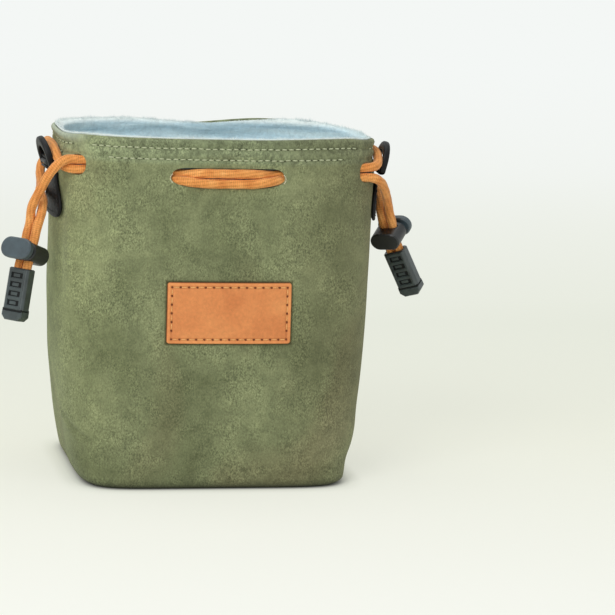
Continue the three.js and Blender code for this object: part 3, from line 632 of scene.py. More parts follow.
# painted shade: the dark dots in the hem's needle holes
needle_hole_shade = material("needle_hole_shade", thread_nodes((58, 62, 42), (84, 88, 62)), 0.9)
# painted shade: the dark dots in the patch's stitch holes
leather_hole_shade = material("leather_hole_shade", thread_nodes((96, 48, 26), (140, 76, 42)), 0.9)


def plastic(name, low, high, rough_low, rough_high, specular):
    return material(name, plastic_nodes(low, high, rough_low, rough_high), specular=specular)


black_plastic = plastic("black_plastic", (11, 13, 14), (24, 28, 30), 0.36, 0.52, 0.7)
ring_plastic = plastic("ring_plastic", (5, 5, 6), (14, 14, 15), 0.4, 0.56, 0.35)
# painted light: the buttons are a lighter copy of the black plastic, for the light on the left button's face
lit_button_plastic = plastic("lit_button_plastic", (42, 56, 63), (60, 78, 87), 0.4, 0.55, 0.95)
tip_plastic = plastic("tip_plastic", (34, 44, 45), (60, 72, 73), 0.3, 0.46, 0.95)
# painted shade: the near-black sheets in the cord tips' pits and along their parting line
pit_shade_plastic = plastic("pit_shade_plastic", (6, 8, 8), (16, 19, 20), 0.5, 0.65, 0.3)


def dress(o, finish):
    o.data.materials.clear()
    o.data.materials.append(finish)


def finish_piece(o, finish, slot_name, *replaced, body="bag"):
    dress(o, finish)
    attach(o, body)
    if replaced:
        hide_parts(*replaced)
    return o


# The camera, as fitted to the photograph: angles in degrees, lengths in mm and places in pixels
AZIMUTH, ELEVATION, ROLL, DISTANCE = 11.6, 10.95, 2.5, 1400
FOCAL, PICTURE, SEEN_AT, TARGET_Z, SENSOR = 2968, 615, (206.2, 298.0), 80, 36


def place_camera():
    az, el, roll = (math.radians(v) for v in (AZIMUTH, ELEVATION, ROLL))
    target = Vector((0, 0, TARGET_Z))
    away = Vector((-math.sin(az) * math.cos(el), -math.cos(az) * math.cos(el), math.sin(el)))
    eye = target + DISTANCE * away
    forward = (target - eye).normalized()
    right = forward.cross(Vector((0, 0, 1))).normalized()
    up = right.cross(forward)
    right, up = right * math.cos(roll) + up * math.sin(roll), up * math.cos(roll) - right * math.sin(roll)
    aim = forward * FOCAL + right * (PICTURE / 2 - SEEN_AT[0]) - up * (PICTURE / 2 - SEEN_AT[1])
    aim.normalize()
    side = aim.cross(up).normalized()
    cam = bpy.data.cameras.new("camera")
    cam.sensor_width = SENSOR
    cam.lens = FOCAL * SENSOR / PICTURE
    cam.clip_start, cam.clip_end = 0.05, 30
    o = bpy.data.objects.new("camera", cam)
    scene.collection.objects.link(o)
    columns = (*side, 0), (*side.cross(aim), 0), (*-aim, 0), (*(eye * MM), 1)
    o.matrix_world = Matrix(columns).transposed()
    scene.camera = o


place_camera()

# The free cords' routes, in mm, as in the part's source
FREE = {
    "cord_left_front_end": [
        (-67.6, -25.5, 148.9), (-70.3, -25.6, 149.0), (-72.9, -26.2, 148.7), (-75.4, -26.9, 147.6),
        (-77.7, -27.4, 145.6), (-79.7, -27.3, 143.1), (-81.6, -26.8, 140.1), (-83.1, -25.2, 136.3),
        (-84.7, -24.1, 132.7), (-86.2, -22.7, 128.9), (-87.2, -21.4, 125.0), (-87.4, -20.9, 121.1),
        (-88.0, -21.4, 117.2), (-89.3, -22.7, 112.6), (-91.0, -24.4, 106.0), (-91.9, -25.3, 102.6),
        (-92.9, -26.3, 98.8), (-93.6, -27.0, 94.0), (-94.5, -27.8, 88.6), (-95.3, -28.6, 83.3),
    ],
    "cord_left_back_end": [
        (-67.9, 25.6, 144.3), (-70.7, 25.2, 144.1), (-73.3, 24.6, 143.1), (-75.5, 23.5, 141.4),
        (-77.0, 21.9, 139.2), (-77.8, 19.6, 136.9), (-78.1, 16.6, 134.8), (-78.3, 12.9, 132.8),
        (-78.9, 8.9, 131.1), (-79.8, 4.4, 130.0), (-80.4, -0.2, 129.5), (-80.7, -4.7, 129.4),
        (-80.9, -9.1, 129.4), (-81.1, -13.2, 128.9), (-81.4, -16.9, 127.5), (-82.1, -20.1, 124.9),
        (-83.1, -22.4, 121.7), (-84.1, -23.9, 119.3), (-84.8, -24.6, 117.2), (-86.0, -25.8, 112.6),
        (-87.8, -27.6, 106.0), (-88.7, -28.5, 102.6), (-89.7, -29.5, 98.8), (-90.4, -30.1, 94.0),
        (-91.3, -30.9, 88.6), (-92.1, -31.7, 83.3),
    ],
    "cord_right_front_end": [
        (67.8, -25.7, 142.6), (70.5, -25.3, 142.4), (73.1, -24.4, 141.7), (75.4, -22.8, 140.4),
        (77.5, -20.5, 138.3), (79.4, -17.6, 135.5), (81.1, -14.3, 132.4), (82.7, -11.2, 129.0),
        (84.3, -8.4, 125.1), (85.6, -6.8, 121.6), (87.2, -5.6, 117.1), (88.8, -4.3, 112.5),
        (90.3, -3.3, 108.4), (92.0, -2.7, 104.8), (94.3, -2.2, 100.4), (96.8, -1.6, 95.6),
        (99.3, -1.1, 90.8),
    ],
    "cord_right_back_end": [
        (67.8, 25.7, 142.6), (70.6, 25.4, 142.6), (73.3, 24.5, 142.3), (75.8, 22.7, 141.5),
        (78.0, 19.8, 140.3), (79.6, 15.9, 138.6), (80.6, 10.9, 136.2), (81.1, 5.8, 133.6),
        (81.2, 0.9, 131.1), (81.4, -2.1, 128.0), (81.4, -3.6, 124.8), (82.0, -4.0, 121.3),
        (82.9, -3.7, 118.5), (84.0, -2.6, 115.5), (85.2, -1.7, 111.9), (86.7, -0.7, 107.8),
        (88.7, 0.1, 103.4), (91.1, 0.6, 98.8), (93.6, 1.1, 94.1), (96.1, 1.7, 89.4),
    ],
}
YARN_RIBS, YARN_LAY = 7, 90
CORD_SIDES, FREE_STEP, HELD_STEP = 30, 0.33, 0.36
COIL_SIDES, COIL_STEPS = 10, 40


def rib_height(turn, length):
    """The yarn ribs that run along a cord, turning slowly round it: 1 on a rib, 0 between two."""
    lay = 2 * math.pi * length / YARN_LAY + 0.25 * np.sin(length / 7)
    return np.abs(np.cos(YARN_RIBS / 2 * (turn + lay))) ** 0.7


def braid_relief(turn, length):
    return 0.3 * rib_height(turn, length) - 0.2 + 0.04 * np.sin(length * 0.9 + 2 * turn)


def lock_springs():
    """A wire spring in each lock, in its CAD spring's place."""
    for side in ("left", "right"):
        joint = next(j for j in frame["joints"] if j["name"] == f"{side}_button_press")
        into = np.array(Vector(joint["axis"]).normalized())
        points = np.array([v.co for v in frame["nodes"][f"lock_{side}_spring"].data.vertices]) / MM
        depth = points @ into
        flat = points - depth[:, None] * into
        middle = (flat.min(0) + flat.max(0)) / 2
        middle -= into * (middle @ into)
        first = np.cross(into, (0, 0, 1.0))
        first /= np.linalg.norm(first)
        second = np.cross(into, first)
        radius = np.linalg.norm(flat - middle, axis=1).max() - SPRING_WIRE / 2
        low, high = depth.min() + SPRING_WIRE / 2, depth.max() - SPRING_WIRE / 2
        turn = np.linspace(0, 1, COIL_STEPS * SPRING_TURNS + 1)
        angle = 2 * math.pi * SPRING_TURNS * turn
        # the two end turns lie flatter than the one between them
        level = low + (high - low) * (0.35 * turn + 0.65 * smooth((turn - 0.14) / 0.72))
        ring = first * np.cos(angle)[:, None] + second * np.sin(angle)[:, None]
        centre = middle + ring * radius + into * level[:, None]
        o = tube(f"lock_{side}_coil", centre, SPRING_WIRE / 2, COIL_SIDES)
        finish_piece(o, steel, "spring_steel", f"lock_{side}_spring", body=f"{side}_lock")
        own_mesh(o)


# Where each cord end's mouth is, which way it hangs and which way its broad faces run
TIPS = (
    ("left", (-91.3, -27.9, 98.8), (-0.15, -0.14, -0.98), (0.72, -0.7, -0.01)),
    ("right", (90.4, -1.3, 104.1), (0.46, 0.1, -0.88), (0.807, -0.578, 0.124)),
)
RECESS_COUNT, RECESS_WIDTH, RECESS_TALL, RECESS_PITCH, RECESS_FIRST, RECESS_DEEP = 4, 6.2, 2.4, 4.2, 3.4, 0.35
RUNG, RAIL, BLOCK = (8.2, 0.7, 1.3), (1.0, 0.5, 3.6), (3.6, 0.5, 1.5)
RAIL_OUT, BLOCK_SHIFT, BOX_SOFTEN = 3.7, -0.3, 0.16
RUNG_SUNK, PIT_RAISED, PIT_THICK, NECK_LESS, NECK_TALL = 0.02, 0.03, 0.1, 0.4, 1.6


def soft_box(size):
    """A box with rounded edges about the origin, as points and faces."""
    bm = bmesh.new()
    bmesh.ops.create_cube(bm, size=1, matrix=Matrix.Diagonal((*size, 1)))
    soften = min(BOX_SOFTEN, min(size) * 0.45)
    edges = bm.edges[:] + bm.verts[:]
    bmesh.ops.bevel(bm, geom=edges, offset=soften, segments=2, profile=0.5, affect="EDGES")
    points = [v.co.copy() for v in bm.verts]
    faces = [[v.index for v in f.verts] for f in bm.faces]
    bm.free()
    return points, faces


def tip_ladders():
    """The moulded ladder on both broad faces of a cord tip: rungs and rails, with a dark sheet of painted
    shade in each pit between them.
    """
    # a neck closes the parting line between the shell and the cover, in the dark plastic as painted shade
    # along that line
    neck_size = (TIP_WIDTH - NECK_LESS, TIP_DEPTH - NECK_LESS, NECK_TALL)
    neck = (neck_size, (0, 0, TIP_COVER - TIP_LENGTH + GAP / 2))
    pit = (RECESS_WIDTH - PIT_THICK, PIT_THICK, RECESS_TALL - PIT_THICK / 2)
    for side, place, down, across in TIPS:
        down = Vector(down).normalized()
        wide = Vector(across)
        wide = (wide - down * wide.dot(down)).normalized()
        out = (-down).cross(wide)
        rungs, pits = [], []
        for face in (-1, 1):
            level = face * TIP_DEPTH / 2
            for i in range(RECESS_COUNT + 1):
                drop = RECESS_PITCH / 2 - RECESS_FIRST - i * RECESS_PITCH
                rungs.append((RUNG, (0, level - face * RUNG_SUNK, drop)))
            for i in range(RECESS_COUNT):
                drop = -RECESS_FIRST - i * RECESS_PITCH
                rungs += [(RAIL, (way * RAIL_OUT, level, drop)) for way in (-1, 1)]
                rungs.append((BLOCK, (BLOCK_SHIFT, level - face * (RECESS_DEEP + RUNG_SUNK), drop)))
                pits.append((pit, (0, level - face * (RECESS_DEEP - PIT_RAISED), drop)))
        for kind, boxes, finish in (("rungs", rungs, tip_plastic), ("pits", pits + [neck], pit_shade_plastic)):
            points, faces = [], []
            for size, middle in boxes:
                own, quads = soft_box(size)
                faces += [[len(points) + i for i in f] for f in quads]
                for v in own:
                    q = v + Vector(middle)
                    points.append(Vector(place) + wide * q.x + out * q.y - down * q.z)
            o = mesh_object(f"cord_tip_{side}_{kind}", points, faces, False)
            finish_piece(o, finish, "black_plastic")


def free_cords():
    for name, points in FREE.items():
        centre = catmull(points, FREE_STEP)
        o = tube(name.replace("cord_", "braided_"), centre, CORD_R, CORD_SIDES, braid_relief)
        finish_piece(o, braid, "braid", name)


# In the front window the lower strand rises over the upper one at both ends: distance in from the
# window's end, rise and how far out
UPPER_ACROSS = [
    (0, -0.7, -3.9), (4, -1.0, -3.5), (8, -0.7, -2.1), (13, -0.15, -0.2), (19, 0, 0.5), (25, 0, 0.6),
]
LOWER_ACROSS = [
    (0, 1.2, -3.0), (3, 1.4, -1.3), (7, 0.95, 0.1), (13, 0.2, 0.55), (19, 0, 0.7), (25, 0, 0.7),
]


def half_route(free, cross, free_rise, cross_rise, wind=0, across=None):
    """Half of a held strand: its slit, the channel, the window, the other slit and on to the side."""
    deep = -(SUEDE + CHANNEL_SLACK + CORD_R)
    off_cloth = CORD_R + STRAND_OFF
    half = WINDOW_WIDTH / 2
    edge = SLIT_ALONG - SLIT_WIDTH / 2
    climb = CROSSING_DRAWN - CORD_Z - cross - cross_rise
    # from the slit inwards: place along the cloth, share of the rise, how far out
    inwards = [(-6, 1, -0.4), (-3, 1, -2.3), (0, 1, deep + 0.1), (6, 0.8, deep), (15, 0.4, deep)]
    route = [(a - edge, free + share * free_rise, off) for a, share, off in inwards]
    route.append((-half - 8, free + 0.1 * free_rise, deep))
    if across:
        for side, lift in ((-1, 1), (1, 0.8)):
            route += [(side * (half - a), free + r * lift, off) for a, r, off in across[::-side]]
    else:
        route.append((-half, free, deep))
        for share in (-1, -0.65, -0.33, 0, 0.33, 0.65, 1):
            turn = (share + 1) * math.pi / 2
            level = (free + cross) / 2 + (free - cross) / 2 * math.cos(turn)
            off = -WINDOW_PROUD if abs(share) < 1 else (deep - WINDOW_PROUD) / 2
            route.append((share * (half - 6), level, off + wind * STRAND_RISE * math.sin(turn)))
        route.append((half, cross, deep))
    route.append((half + 8, cross + 0.1 * cross_rise, deep))
    # out of the other slit and up to the crossing: share of the rise, share of the climb
    outwards = (
        (-15, 0.4, 0, deep), (-6, 0.8, 0, deep), (0, 1, 0, deep + 0.1), (3, 1, 0, -2.3),
        (6, 1, 0.01, -0.4), (9, 1, 0.05, 1.6), (12, 1, 0.16, off_cloth + 0.2), (16, 1, 0.44, off_cloth),
        (21, 1, 0.8, off_cloth), (27, 1, 0.98, off_cloth), (GIRTH / 4 - edge, 1, 1, off_cloth),
    )
    for a, share, up, off in outwards:
        route.append((edge + a, cross + share * cross_rise + up * climb, off))
    return route


def held_cords():
    for name, way, level, rises, across in (
        ("left", 1, STRAND_RISE, (LEFT_RISE, RIGHT_RISE), UPPER_ACROSS),
        ("right", -1, -STRAND_RISE, (RIGHT_RISE, LEFT_RISE), LOWER_ACROSS),
    ):
        front = half_route(level, level, *rises, across=across)
        back = half_route(-STRAND_RISE, STRAND_RISE, *rises, wind=way)
        route = front + [(GIRTH / 2 - a, up, off) for a, up, off in back[-2::-1]]
        centre = catmull([on_wall(way * a, CORD_Z + up, off) for a, up, off in route], HELD_STEP)
        # each end reaches a little into the free strand that goes on from it
        first = centre[0] + (centre[0] - centre[1]) * 1.9
        last = centre[-1] + (centre[-1] - centre[-2]) * 1.9
        line = np.concatenate([[first], centre, [last]])
        o = tube(f"braided_{name}_held", line, CORD_R, CORD_SIDES, braid_relief)
        finish_piece(o, braid, "braid", f"drawcord_{name}_held")


lock_springs()
tip_ladders()
free_cords()
held_cords()

# The hem's two rows of stitches, and how finely the cloth is drawn
ROW_ONE, ROW_TWO = HEIGHT - 4.2, HEIGHT - 9.0
STITCH_COUNT = int(GIRTH / 3.3)
HEM_PITCH = GIRTH / STITCH_COUNT
HEM_STITCH, HEM_THREAD_R, HEM_HOLE_R = 2.3, 0.31, 0.3
PANEL_COLS, FOAM_COLS, FLEECE_COLS, BASE_COLS, BASE_STEPS = 320, 100, 360, 160, 6
SEAM_GAP, FOAM_SEAM_GAP = 0.12, 0.3
LOCK_REST_ALONG, LOCK_REST_Z, LOCK_ROOM = GIRTH / 4 - 6, 114, 0.4


def rows_between(low, high, step):
    return list(np.linspace(low, high, max(2, int(round((high - low) / step)) + 1)))


def lock_rest(along, z):
    """Where the right lock lies against the cloth, near 1, so that it has room to slide."""
    return dent(from_middle(along), LOCK_REST_ALONG, 13) * dent(z, LOCK_REST_Z, 16)


def face_relief(along, z):
    """How far the outer cloth stands out at a place: hem puffs and puckers, stitch rows and folds."""
    a = from_middle(along)
    out = np.zeros_like(a)
    for index, row in enumerate((ROW_ONE, ROW_TWO)):
        out -= 0.38 * dent(z, row, 0.75)
        phase = 2 * np.pi * (along / HEM_PITCH - 0.5 * index)
        out -= np.cos(phase) * (0.13 * dent(z, row - 1.2, 1.1) + 0.08 * dent(z, row + 1.2, 1.0))
    gather = np.array([waver(v * 0.42, z * 0.1, 21) for v in along])
    wide = np.array([waver(v * 0.13, z * 0.05, 33) for v in along])
    out += 0.42 * dent(z, (ROW_ONE + ROW_TWO) / 2, 1.9) * (1 + 1.3 * gather)
    out += 0.26 * dent(z, HEIGHT - 1.6, 1.7) * (1 + 1.2 * gather)
    out += 0.5 * wide * dent(z, ROW_TWO - 5, 5)
    # the fold down the left corner, the crease low on it and the pinch low on the right
    fold = 0.55 * dent(a, -71, 5) - 0.75 * dent(a, -79, 3.2)
    out += fold * smooth((z - 78) / 18) * smooth((146 - z) / 10)
    line = 21 + (np.abs(a) - 57) * 0.36
    crease = 0.8 * dent(z, line + 3.4, 2.6) - 1.25 * dent(z, line, 1.4) + 0.35 * dent(z, line - 3, 2.4)
    out += crease * smooth((-a - 52) / 8) * smooth((92 + a) / 10)
    pinch = 0.9 * dent(z, 23, 8) - 1.0 * dent(z, 10, 4.5)
    out += pinch * smooth((a - 58) / 10) * smooth((104 - a) / 12)
    out += 0.8 * smooth((-a - 58) / 12) * smooth((100 + a) / 12) * dent(z, 10, 9)
    return out - LOCK_ROOM * lock_rest(along, z)


def soft_wall(p):
    """The slow unevenness of a cloth wall."""
    fine = waver(p[0] * 0.06, p[1] * 0.06, p[2] * 0.045 + 9)
    return waver(p[0] * 0.022, p[1] * 0.022, p[2] * 0.016 + 3) + 0.4 * fine


def drawn_window(half, rise):
    """The front window as the strands hold it open: its lower edge comes up towards both ends."""
    pts = []
    for power, side in ((12, 1), (3.6, -1)):
        for i in range(40):
            a = math.pi * i / 40
            x = half * side * math.copysign(abs(math.cos(a)) ** (2 / power), math.cos(a))
            pts.append((x, rise * side * max(0.0, 1 - (abs(x) / half) ** power) ** 0.5))
    return pts


def panel(name, middle, replaced):
    """One outer panel as a closed skin: up outside, over the rim, down the folded hem and inside."""
    is_front = middle == 0
    along = np.linspace(middle - GIRTH / 4 + SEAM_GAP, middle + GIRTH / 4 - SEAM_GAP, PANEL_COLS)
    outer = [0.0, 0.25, 0.6, 1.1, 1.8, 2.6]
    outer += rows_between(4, 144, 1.6) + rows_between(144.6, HEIGHT - 1.3, 0.42)
    rows = [(z, 0.0) for z in outer]
    for i in range(1, 8):
        a = math.pi * i / 8
        rows.append((HEIGHT - SUEDE * (1 - math.sin(a)), SUEDE * (1 - math.cos(a))))
    rows += [(z, 2 * SUEDE) for z in rows_between(HEIGHT - 1.4, HEIGHT - HEM + 0.3, 1.1)]
    rows += [(z, SUEDE) for z in rows_between(HEIGHT - HEM - 0.8, 3, 3.2)]
    rows += [(1.6, 1.5), (0.7, 2.0), (0.0, 2.4)]
    points = []
    for k, (z, inset) in enumerate(rows):
        flat = outline(angle_at(along, z), z, inset)
        if k < len(outer):
            fade = smooth(z / 8) * (1 - 0.6 * smooth((z - 120) / 20)) * (1 - lock_rest(along, z))
            off = face_relief(along, z) + 0.75 * fade * np.array([soft_wall(p) for p in flat])
            flat = flat + outward(along, z) * off[:, None]
        points.append(sag(flat))
    faces = grid_faces(len(rows), PANEL_COLS, wrap_rows=True) + end_faces(len(rows), PANEL_COLS)
    o = mesh_object(name, np.concatenate(points), faces, closed=True)
    facing = -1 if is_front else 1
    tall = 2 * (STRAND_RISE + CORD_R + 0.3)
    hole = rounded(WINDOW_WIDTH + 2 * HOLE_SLACK, tall, tall / 2, 12)
    if is_front:
        hole = drawn_window(WINDOW_WIDTH / 2 + HOLE_SLACK, tall / 2)
    cutters = [cutter(hole, 24, (0, facing * BASE_DEPTH / 2, CORD_Z), (0, facing, 0))]
    wide, high, corner, further = DRAWN_SLIT
    for side in (-1, 1):
        a = middle + side * (SLIT_ALONG + further)
        z = LEFT_SLIT_Z if (side < 0) == is_front else RIGHT_SLIT_Z
        cutters.append(cutter(rounded(wide, high, corner), 5, on_wall(a, z, 0), outward(a, z)))
    cut(o, cutters)
    hard_edges(o, 50)
    finish_piece(o, suede, "suede_cloth", replaced)


panel("suede_front", 0.0, "outer_front_panel")
panel("suede_back", GIRTH / 2, "outer_back_panel")


def base_layer(name, low, high, inset, finish, slot_name, replaced, edge=0.5, swell=0.0):
    """A flat layer in the base with a soft edge. One that swells is also a little uneven on top."""
    middle, half = (low + high) / 2, (high - low) / 2
    inner = (0.0, 0.35, 0.65, 0.85, 0.95)
    profile = [(share, -1.0) for share in inner]
    for i in range(BASE_STEPS + 1):
        a = math.pi * (i / BASE_STEPS - 0.5)
        profile.append((1 - edge / 60 * (1 - math.cos(a)), math.sin(a)))
    profile += [(share, 1.0) for share in inner[::-1]]
    base = outline(angle_at(np.linspace(0, GIRTH, BASE_COLS, endpoint=False), low), low, inset)
    rings = []
    for share, side in profile:
        p = base * max(share, 0.002)
        p[:, 2] = middle + side * half
        if side > 0.5 and swell:
            p[:, 2] += [swell * (1 - share**4 + waver(v[0] * 0.05, v[1] * 0.05, 1)) for v in p]
        rings.append(p)
    o = mesh_object(name, np.concatenate(rings), sweep_faces(len(rings), BASE_COLS), closed=True)
    return finish_piece(o, finish, slot_name, replaced)


def wall_layer(name, start, end, cols, rows, outer, inner, finish, slot_name, *replaced, relief=None):
    """A layer of the wall between two insets, closed at its edges. One with relief goes all round."""
    round_it = relief is not None
    along = np.linspace(start, end, cols, endpoint=not round_it)
    run = [(z, outer(z), False) for z in rows] + [(z, inner(z), True) for z in rows[::-1]]
    points = []
    for z, inset, inside in run:
        p = outline(angle_at(along, z), z, inset)
        if round_it:
            n = outward(along, z)
            if inside:
                p = p - n * relief(z, p)[:, None]
            p[:, 2] += proud(p[:, 0], p[:, 1]) * smooth((z - 154) / 5)
            p = p + n * over_rim(p[:, 0], z)[:, None]
        points.append(sag(p))
    faces = grid_faces(len(run), cols, wrap_rows=True, wrap_cols=round_it)
    faces += [] if round_it else end_faces(len(run), cols)
    o = mesh_object(name, np.concatenate(points), faces, closed=True)
    return finish_piece(o, finish, slot_name, *replaced)


FOAM_LOW = SUEDE + GAP + BOARD + GAP
FOAM_TOP = CORD_Z - STRAND_RISE - CORD_R - CHANNEL_SLACK
LINING_LOW = FOAM_LOW + BASE_PADDING + GAP
LINING_IN = max(SUEDE + GAP + PADDING + GAP, SUEDE + CORD + 2 * CHANNEL_SLACK)
LINING_OUT = 2 * SUEDE + GAP
LINING_STEP = HEIGHT - HEM + FOLD_RISE + GAP
LINING_TOP = HEIGHT - LINING_DROP

base_layer("suede_base", 0.0, SUEDE, SUEDE * math.hypot(1, 2) + GAP, suede, "suede_cloth", "outer_base_panel")
foam_inset = SUEDE + GAP + PADDING + GAP
foam_floor = ("foam_floor", FOAM_LOW, FOAM_LOW + BASE_PADDING, foam_inset, foam, "foam", "foam_base_pad")
base_layer(*foam_floor, edge=2)
for side, middle in (("front", 0.0), ("back", GIRTH / 2)):
    reach = GIRTH / 4 - FOAM_SEAM_GAP
    pad = wall_layer(
        f"foam_{side}", middle - reach, middle + reach, FOAM_COLS, rows_between(FOAM_LOW, FOAM_TOP, 4),
        lambda z: SUEDE + GAP, lambda z: SUEDE + GAP + PADDING, foam, "foam", f"foam_{side}_pad",
    )


def lining_inset(z):
    share = smooth((z - (LINING_STEP - LINING_BEND)) / LINING_BEND)
    return LINING_IN + (LINING_OUT - LINING_IN) * float(share)


def lining_inner(z):
    """The fleece's inner face, which comes in to its edge at the top."""
    return lining_inset(z) + (FLEECE if z < HEIGHT - 1.3 else 1.1 if z < HEIGHT - 0.9 else 0.5)


def bare_back(x):
    """Near 1 in the middle of the back, where the fleece stands least over the hem."""
    return np.exp(-(((x - 17) / 21) ** 4))


def proud(x, y):
    """How far the fleece stands over its own line along the mouth: least in the middle of the back."""
    back = smooth((y + 4) / 14)
    front = 1.0 + 0.35 * smooth((-x - 20) / 50) + 0.3 * smooth((x - 55) / 12)
    return front * (1 - back) + back * 1.6 * (1 - bare_back(x))


def over_rim(x, z):
    """How far the fleece leans out over the hem's fold at the two ends of the mouth."""
    return 1.2 * smooth((np.abs(x) - 58) / 10) * smooth((z - 157.3) / 1.7)


def pile(z, points):
    """Tufts, soft level waves and slack of the fleece, standing into the bag."""
    out = []
    upper = float(smooth((z - 128) / 12))
    for x, y, height in points:
        slack = waver(x * 0.035, y * 0.035, height * 0.05 + 5)
        tuft = waver(x * 0.9, y * 0.9, height * 0.9)
        wave = math.sin(2 * math.pi * ((z - HEIGHT) / 5.2 + 0.75 * waver(x * 0.03, y * 0.03, 40)))
        out.append(0.4 * slack + 0.13 * tuft + 0.42 * wave * upper)
    return np.array(out) + 0.35 * dent(z, HEIGHT - 2.0, 1.6)


lining_rows = rows_between(LINING_LOW, 140, 3.2) + rows_between(141.5, LINING_TOP - 0.4, 0.8) + [LINING_TOP]
wall_layer(
    "fleece_wall", 0, GIRTH, FLEECE_COLS, lining_rows, lining_inset, lining_inner,
    fleece, "fleece", "lining_front_panel", "lining_back_panel", relief=pile,
)
floor_inset = LINING_IN + FLEECE + GAP
fleece_floor = ("fleece_floor", LINING_LOW, LINING_LOW + FLEECE, floor_inset, fleece, "fleece", "lining_base")
base_layer(*fleece_floor, edge=1.5, swell=0.4)

TUFTS = 12000


def fuzz():
    """Loose pile along the mouth, where the lining meets the hem, highest at the back's two ends."""
    points, faces = [], []
    for k in range(TUFTS):
        a = GIRTH * (k + random.random()) / TUFTS
        z = LINING_TOP + random.uniform(-1.6, 0.1)
        root = outline(angle_at(a, z), z, random.uniform(LINING_OUT - 0.3, LINING_OUT + 1.5))
        x, y = root[0], root[1]
        bare = bare_back(x) if y > 0 else 0.7
        tuft = 0.75 + 0.6 * waver(x * 0.22, y * 0.22, 50)
        root[2] += proud(x, y) * smooth((z - 154) / 5)
        n = outward(a, z)
        p = sag(root + n * over_rim(x, z))
        t = np.array([-n[1], n[0], 0])
        long = random.uniform(0.9, 2.3) * tuft * (1 - 0.55 * bare)
        lean = random.uniform(-0.9, 0.9)
        inwards = random.uniform(-0.55, 0.8) + 0.5 * bare
        tip = p + long * (np.array([0, 0, random.uniform(0.45, 1.0)]) + t * lean * 0.7 - n * inwards * 0.6)
        mid = (p + tip) / 2 + t * random.uniform(-0.2, 0.2)
        wide = t * 0.06 + n * random.uniform(-0.03, 0.03)
        i = len(points)
        points += [p - wide, p + wide, mid - wide * 0.8, mid + wide * 0.8, tip]
        faces += [(i, i + 1, i + 3, i + 2), (i + 2, i + 3, i + 4)]
    finish_piece(mesh_object("fleece_fringe", points, faces, False), fringe, "fleece")


fuzz()

# Along a thread: share of its length, of its radius, and how far it lifts in radii
THREAD = ((0, 0.15, -0.55), (0.1, 0.75, -0.1), (0.3, 1, 0.25), (0.5, 1.05, 0.32))
THREAD += tuple((1 - share, size, lift) for share, size, lift in THREAD[2::-1])
THREAD_SIDES = 6


def capsules(name, places, radius, finish, slot_name):
    """Short threads, each between two points on a surface that faces along a normal."""
    points, faces = [], []
    turns = [2 * math.pi * k / THREAD_SIDES for k in range(THREAD_SIDES)]
    for start, end, normal in places:
        a, b = np.array(start, float), np.array(end, float)
        d = (b - a) / max(np.linalg.norm(b - a), 1e-6)
        n = np.array(normal, float)
        n -= d * (n @ d)
        n /= np.linalg.norm(n)
        s = np.cross(d, n)
        faces += sweep_faces(len(THREAD), THREAD_SIDES, len(points))
        for share, size, lift in THREAD:
            c = a + (b - a) * share + n * lift * radius
            points += [c + (s * math.cos(w) + n * math.sin(w)) * radius * size for w in turns]
    finish_piece(mesh_object(name, points, faces), finish, slot_name)


def hem_stitches():
    for index, (row, reach) in enumerate(((ROW_ONE, 5.5), (ROW_TWO, 14))):
        places, holes = [], []
        for k in range(STITCH_COUNT):
            a = HEM_PITCH * (k + 0.5 * index)
            # no stitches above or beside the four slits
            if abs(abs((a + GIRTH / 4) % (GIRTH / 2) - GIRTH / 4) - SLIT_ALONG) < reach:
                continue
            heights = [row + random.uniform(-0.14, 0.14) for _ in range(2)]
            ends = [sag(on_wall(a + s * HEM_STITCH / 2, z, -0.1)) for s, z in zip((-1, 1), heights)]
            n = outward(a, row)
            places.append((*ends, n))
            # dark dots sunk between the stitches are painted shade in the needle holes
            between = (0.5 * HEM_STITCH + 0.12, HEM_PITCH - 0.5 * HEM_STITCH - 0.12)
            holes.append((*(sag(on_wall(a + side, heights[1] - 0.1, -0.24)) for side in between), n))
        capsules(f"hem_stitches_{index + 1}", places, HEM_THREAD_R, thread, "suede_cloth")
        capsules(f"hem_hole_shades_{index + 1}", holes, HEM_HOLE_R, needle_hole_shade, "suede_cloth")


hem_stitches()

STITCH_INSET, STITCH_PITCH, STITCH_START = 2.1, 3.75, 0.12
PATCH_COLS, PATCH_ROWS, PATCH_LIFT = 233, 113, GAP * 0.4
PATCH_EDGE, EDGE_SHARE, GROOVE_DEEP, GROOVE_WIDE, HOLE_DEEP, HOLE_WIDE = 0.7, 0.42, 0.26, 0.6, 0.7, 0.36
PATCH_THREAD_R, THREAD_SUNK, PATCH_HOLE_R, HOLE_SUNK, HOLE_REACH = 0.2, 0.18, 0.42, 0.26, (0.45, 0, 0.14)
TACKS, TACK_IN, TACK_R, TACK_STEP, TACK_LONG, TACK_THREAD_R = 7, 1.9, 2.3, 0.3, 0.24, 0.24
TO_FRONT = (0, -1, 0)


def patch_holes():
    """Where the stitch holes are, round the patch, and which way its stitch goes from each."""
    w, t = PATCH_W / 2 - STITCH_INSET, PATCH_T / 2 - STITCH_INSET
    nx, nz = round(2 * w / STITCH_PITCH), round(2 * t / STITCH_PITCH)
    holes = [(-w + 2 * w * i / nx, v, 1, 0) for i in range(nx + 1) for v in (-t, t)]
    return holes + [(u, -t + 2 * t * i / nz, 0, 1) for i in range(1, nz) for u in (-w, w)]


def on_patch(u, v, sunk):
    """A place on the patch, a little below its outer face."""
    x, z = PATCH_SHIFT + u, PATCH_Z + v
    return x, front_y(x, z) - PATCH_LIFT - PATCH_THICK + sunk, z


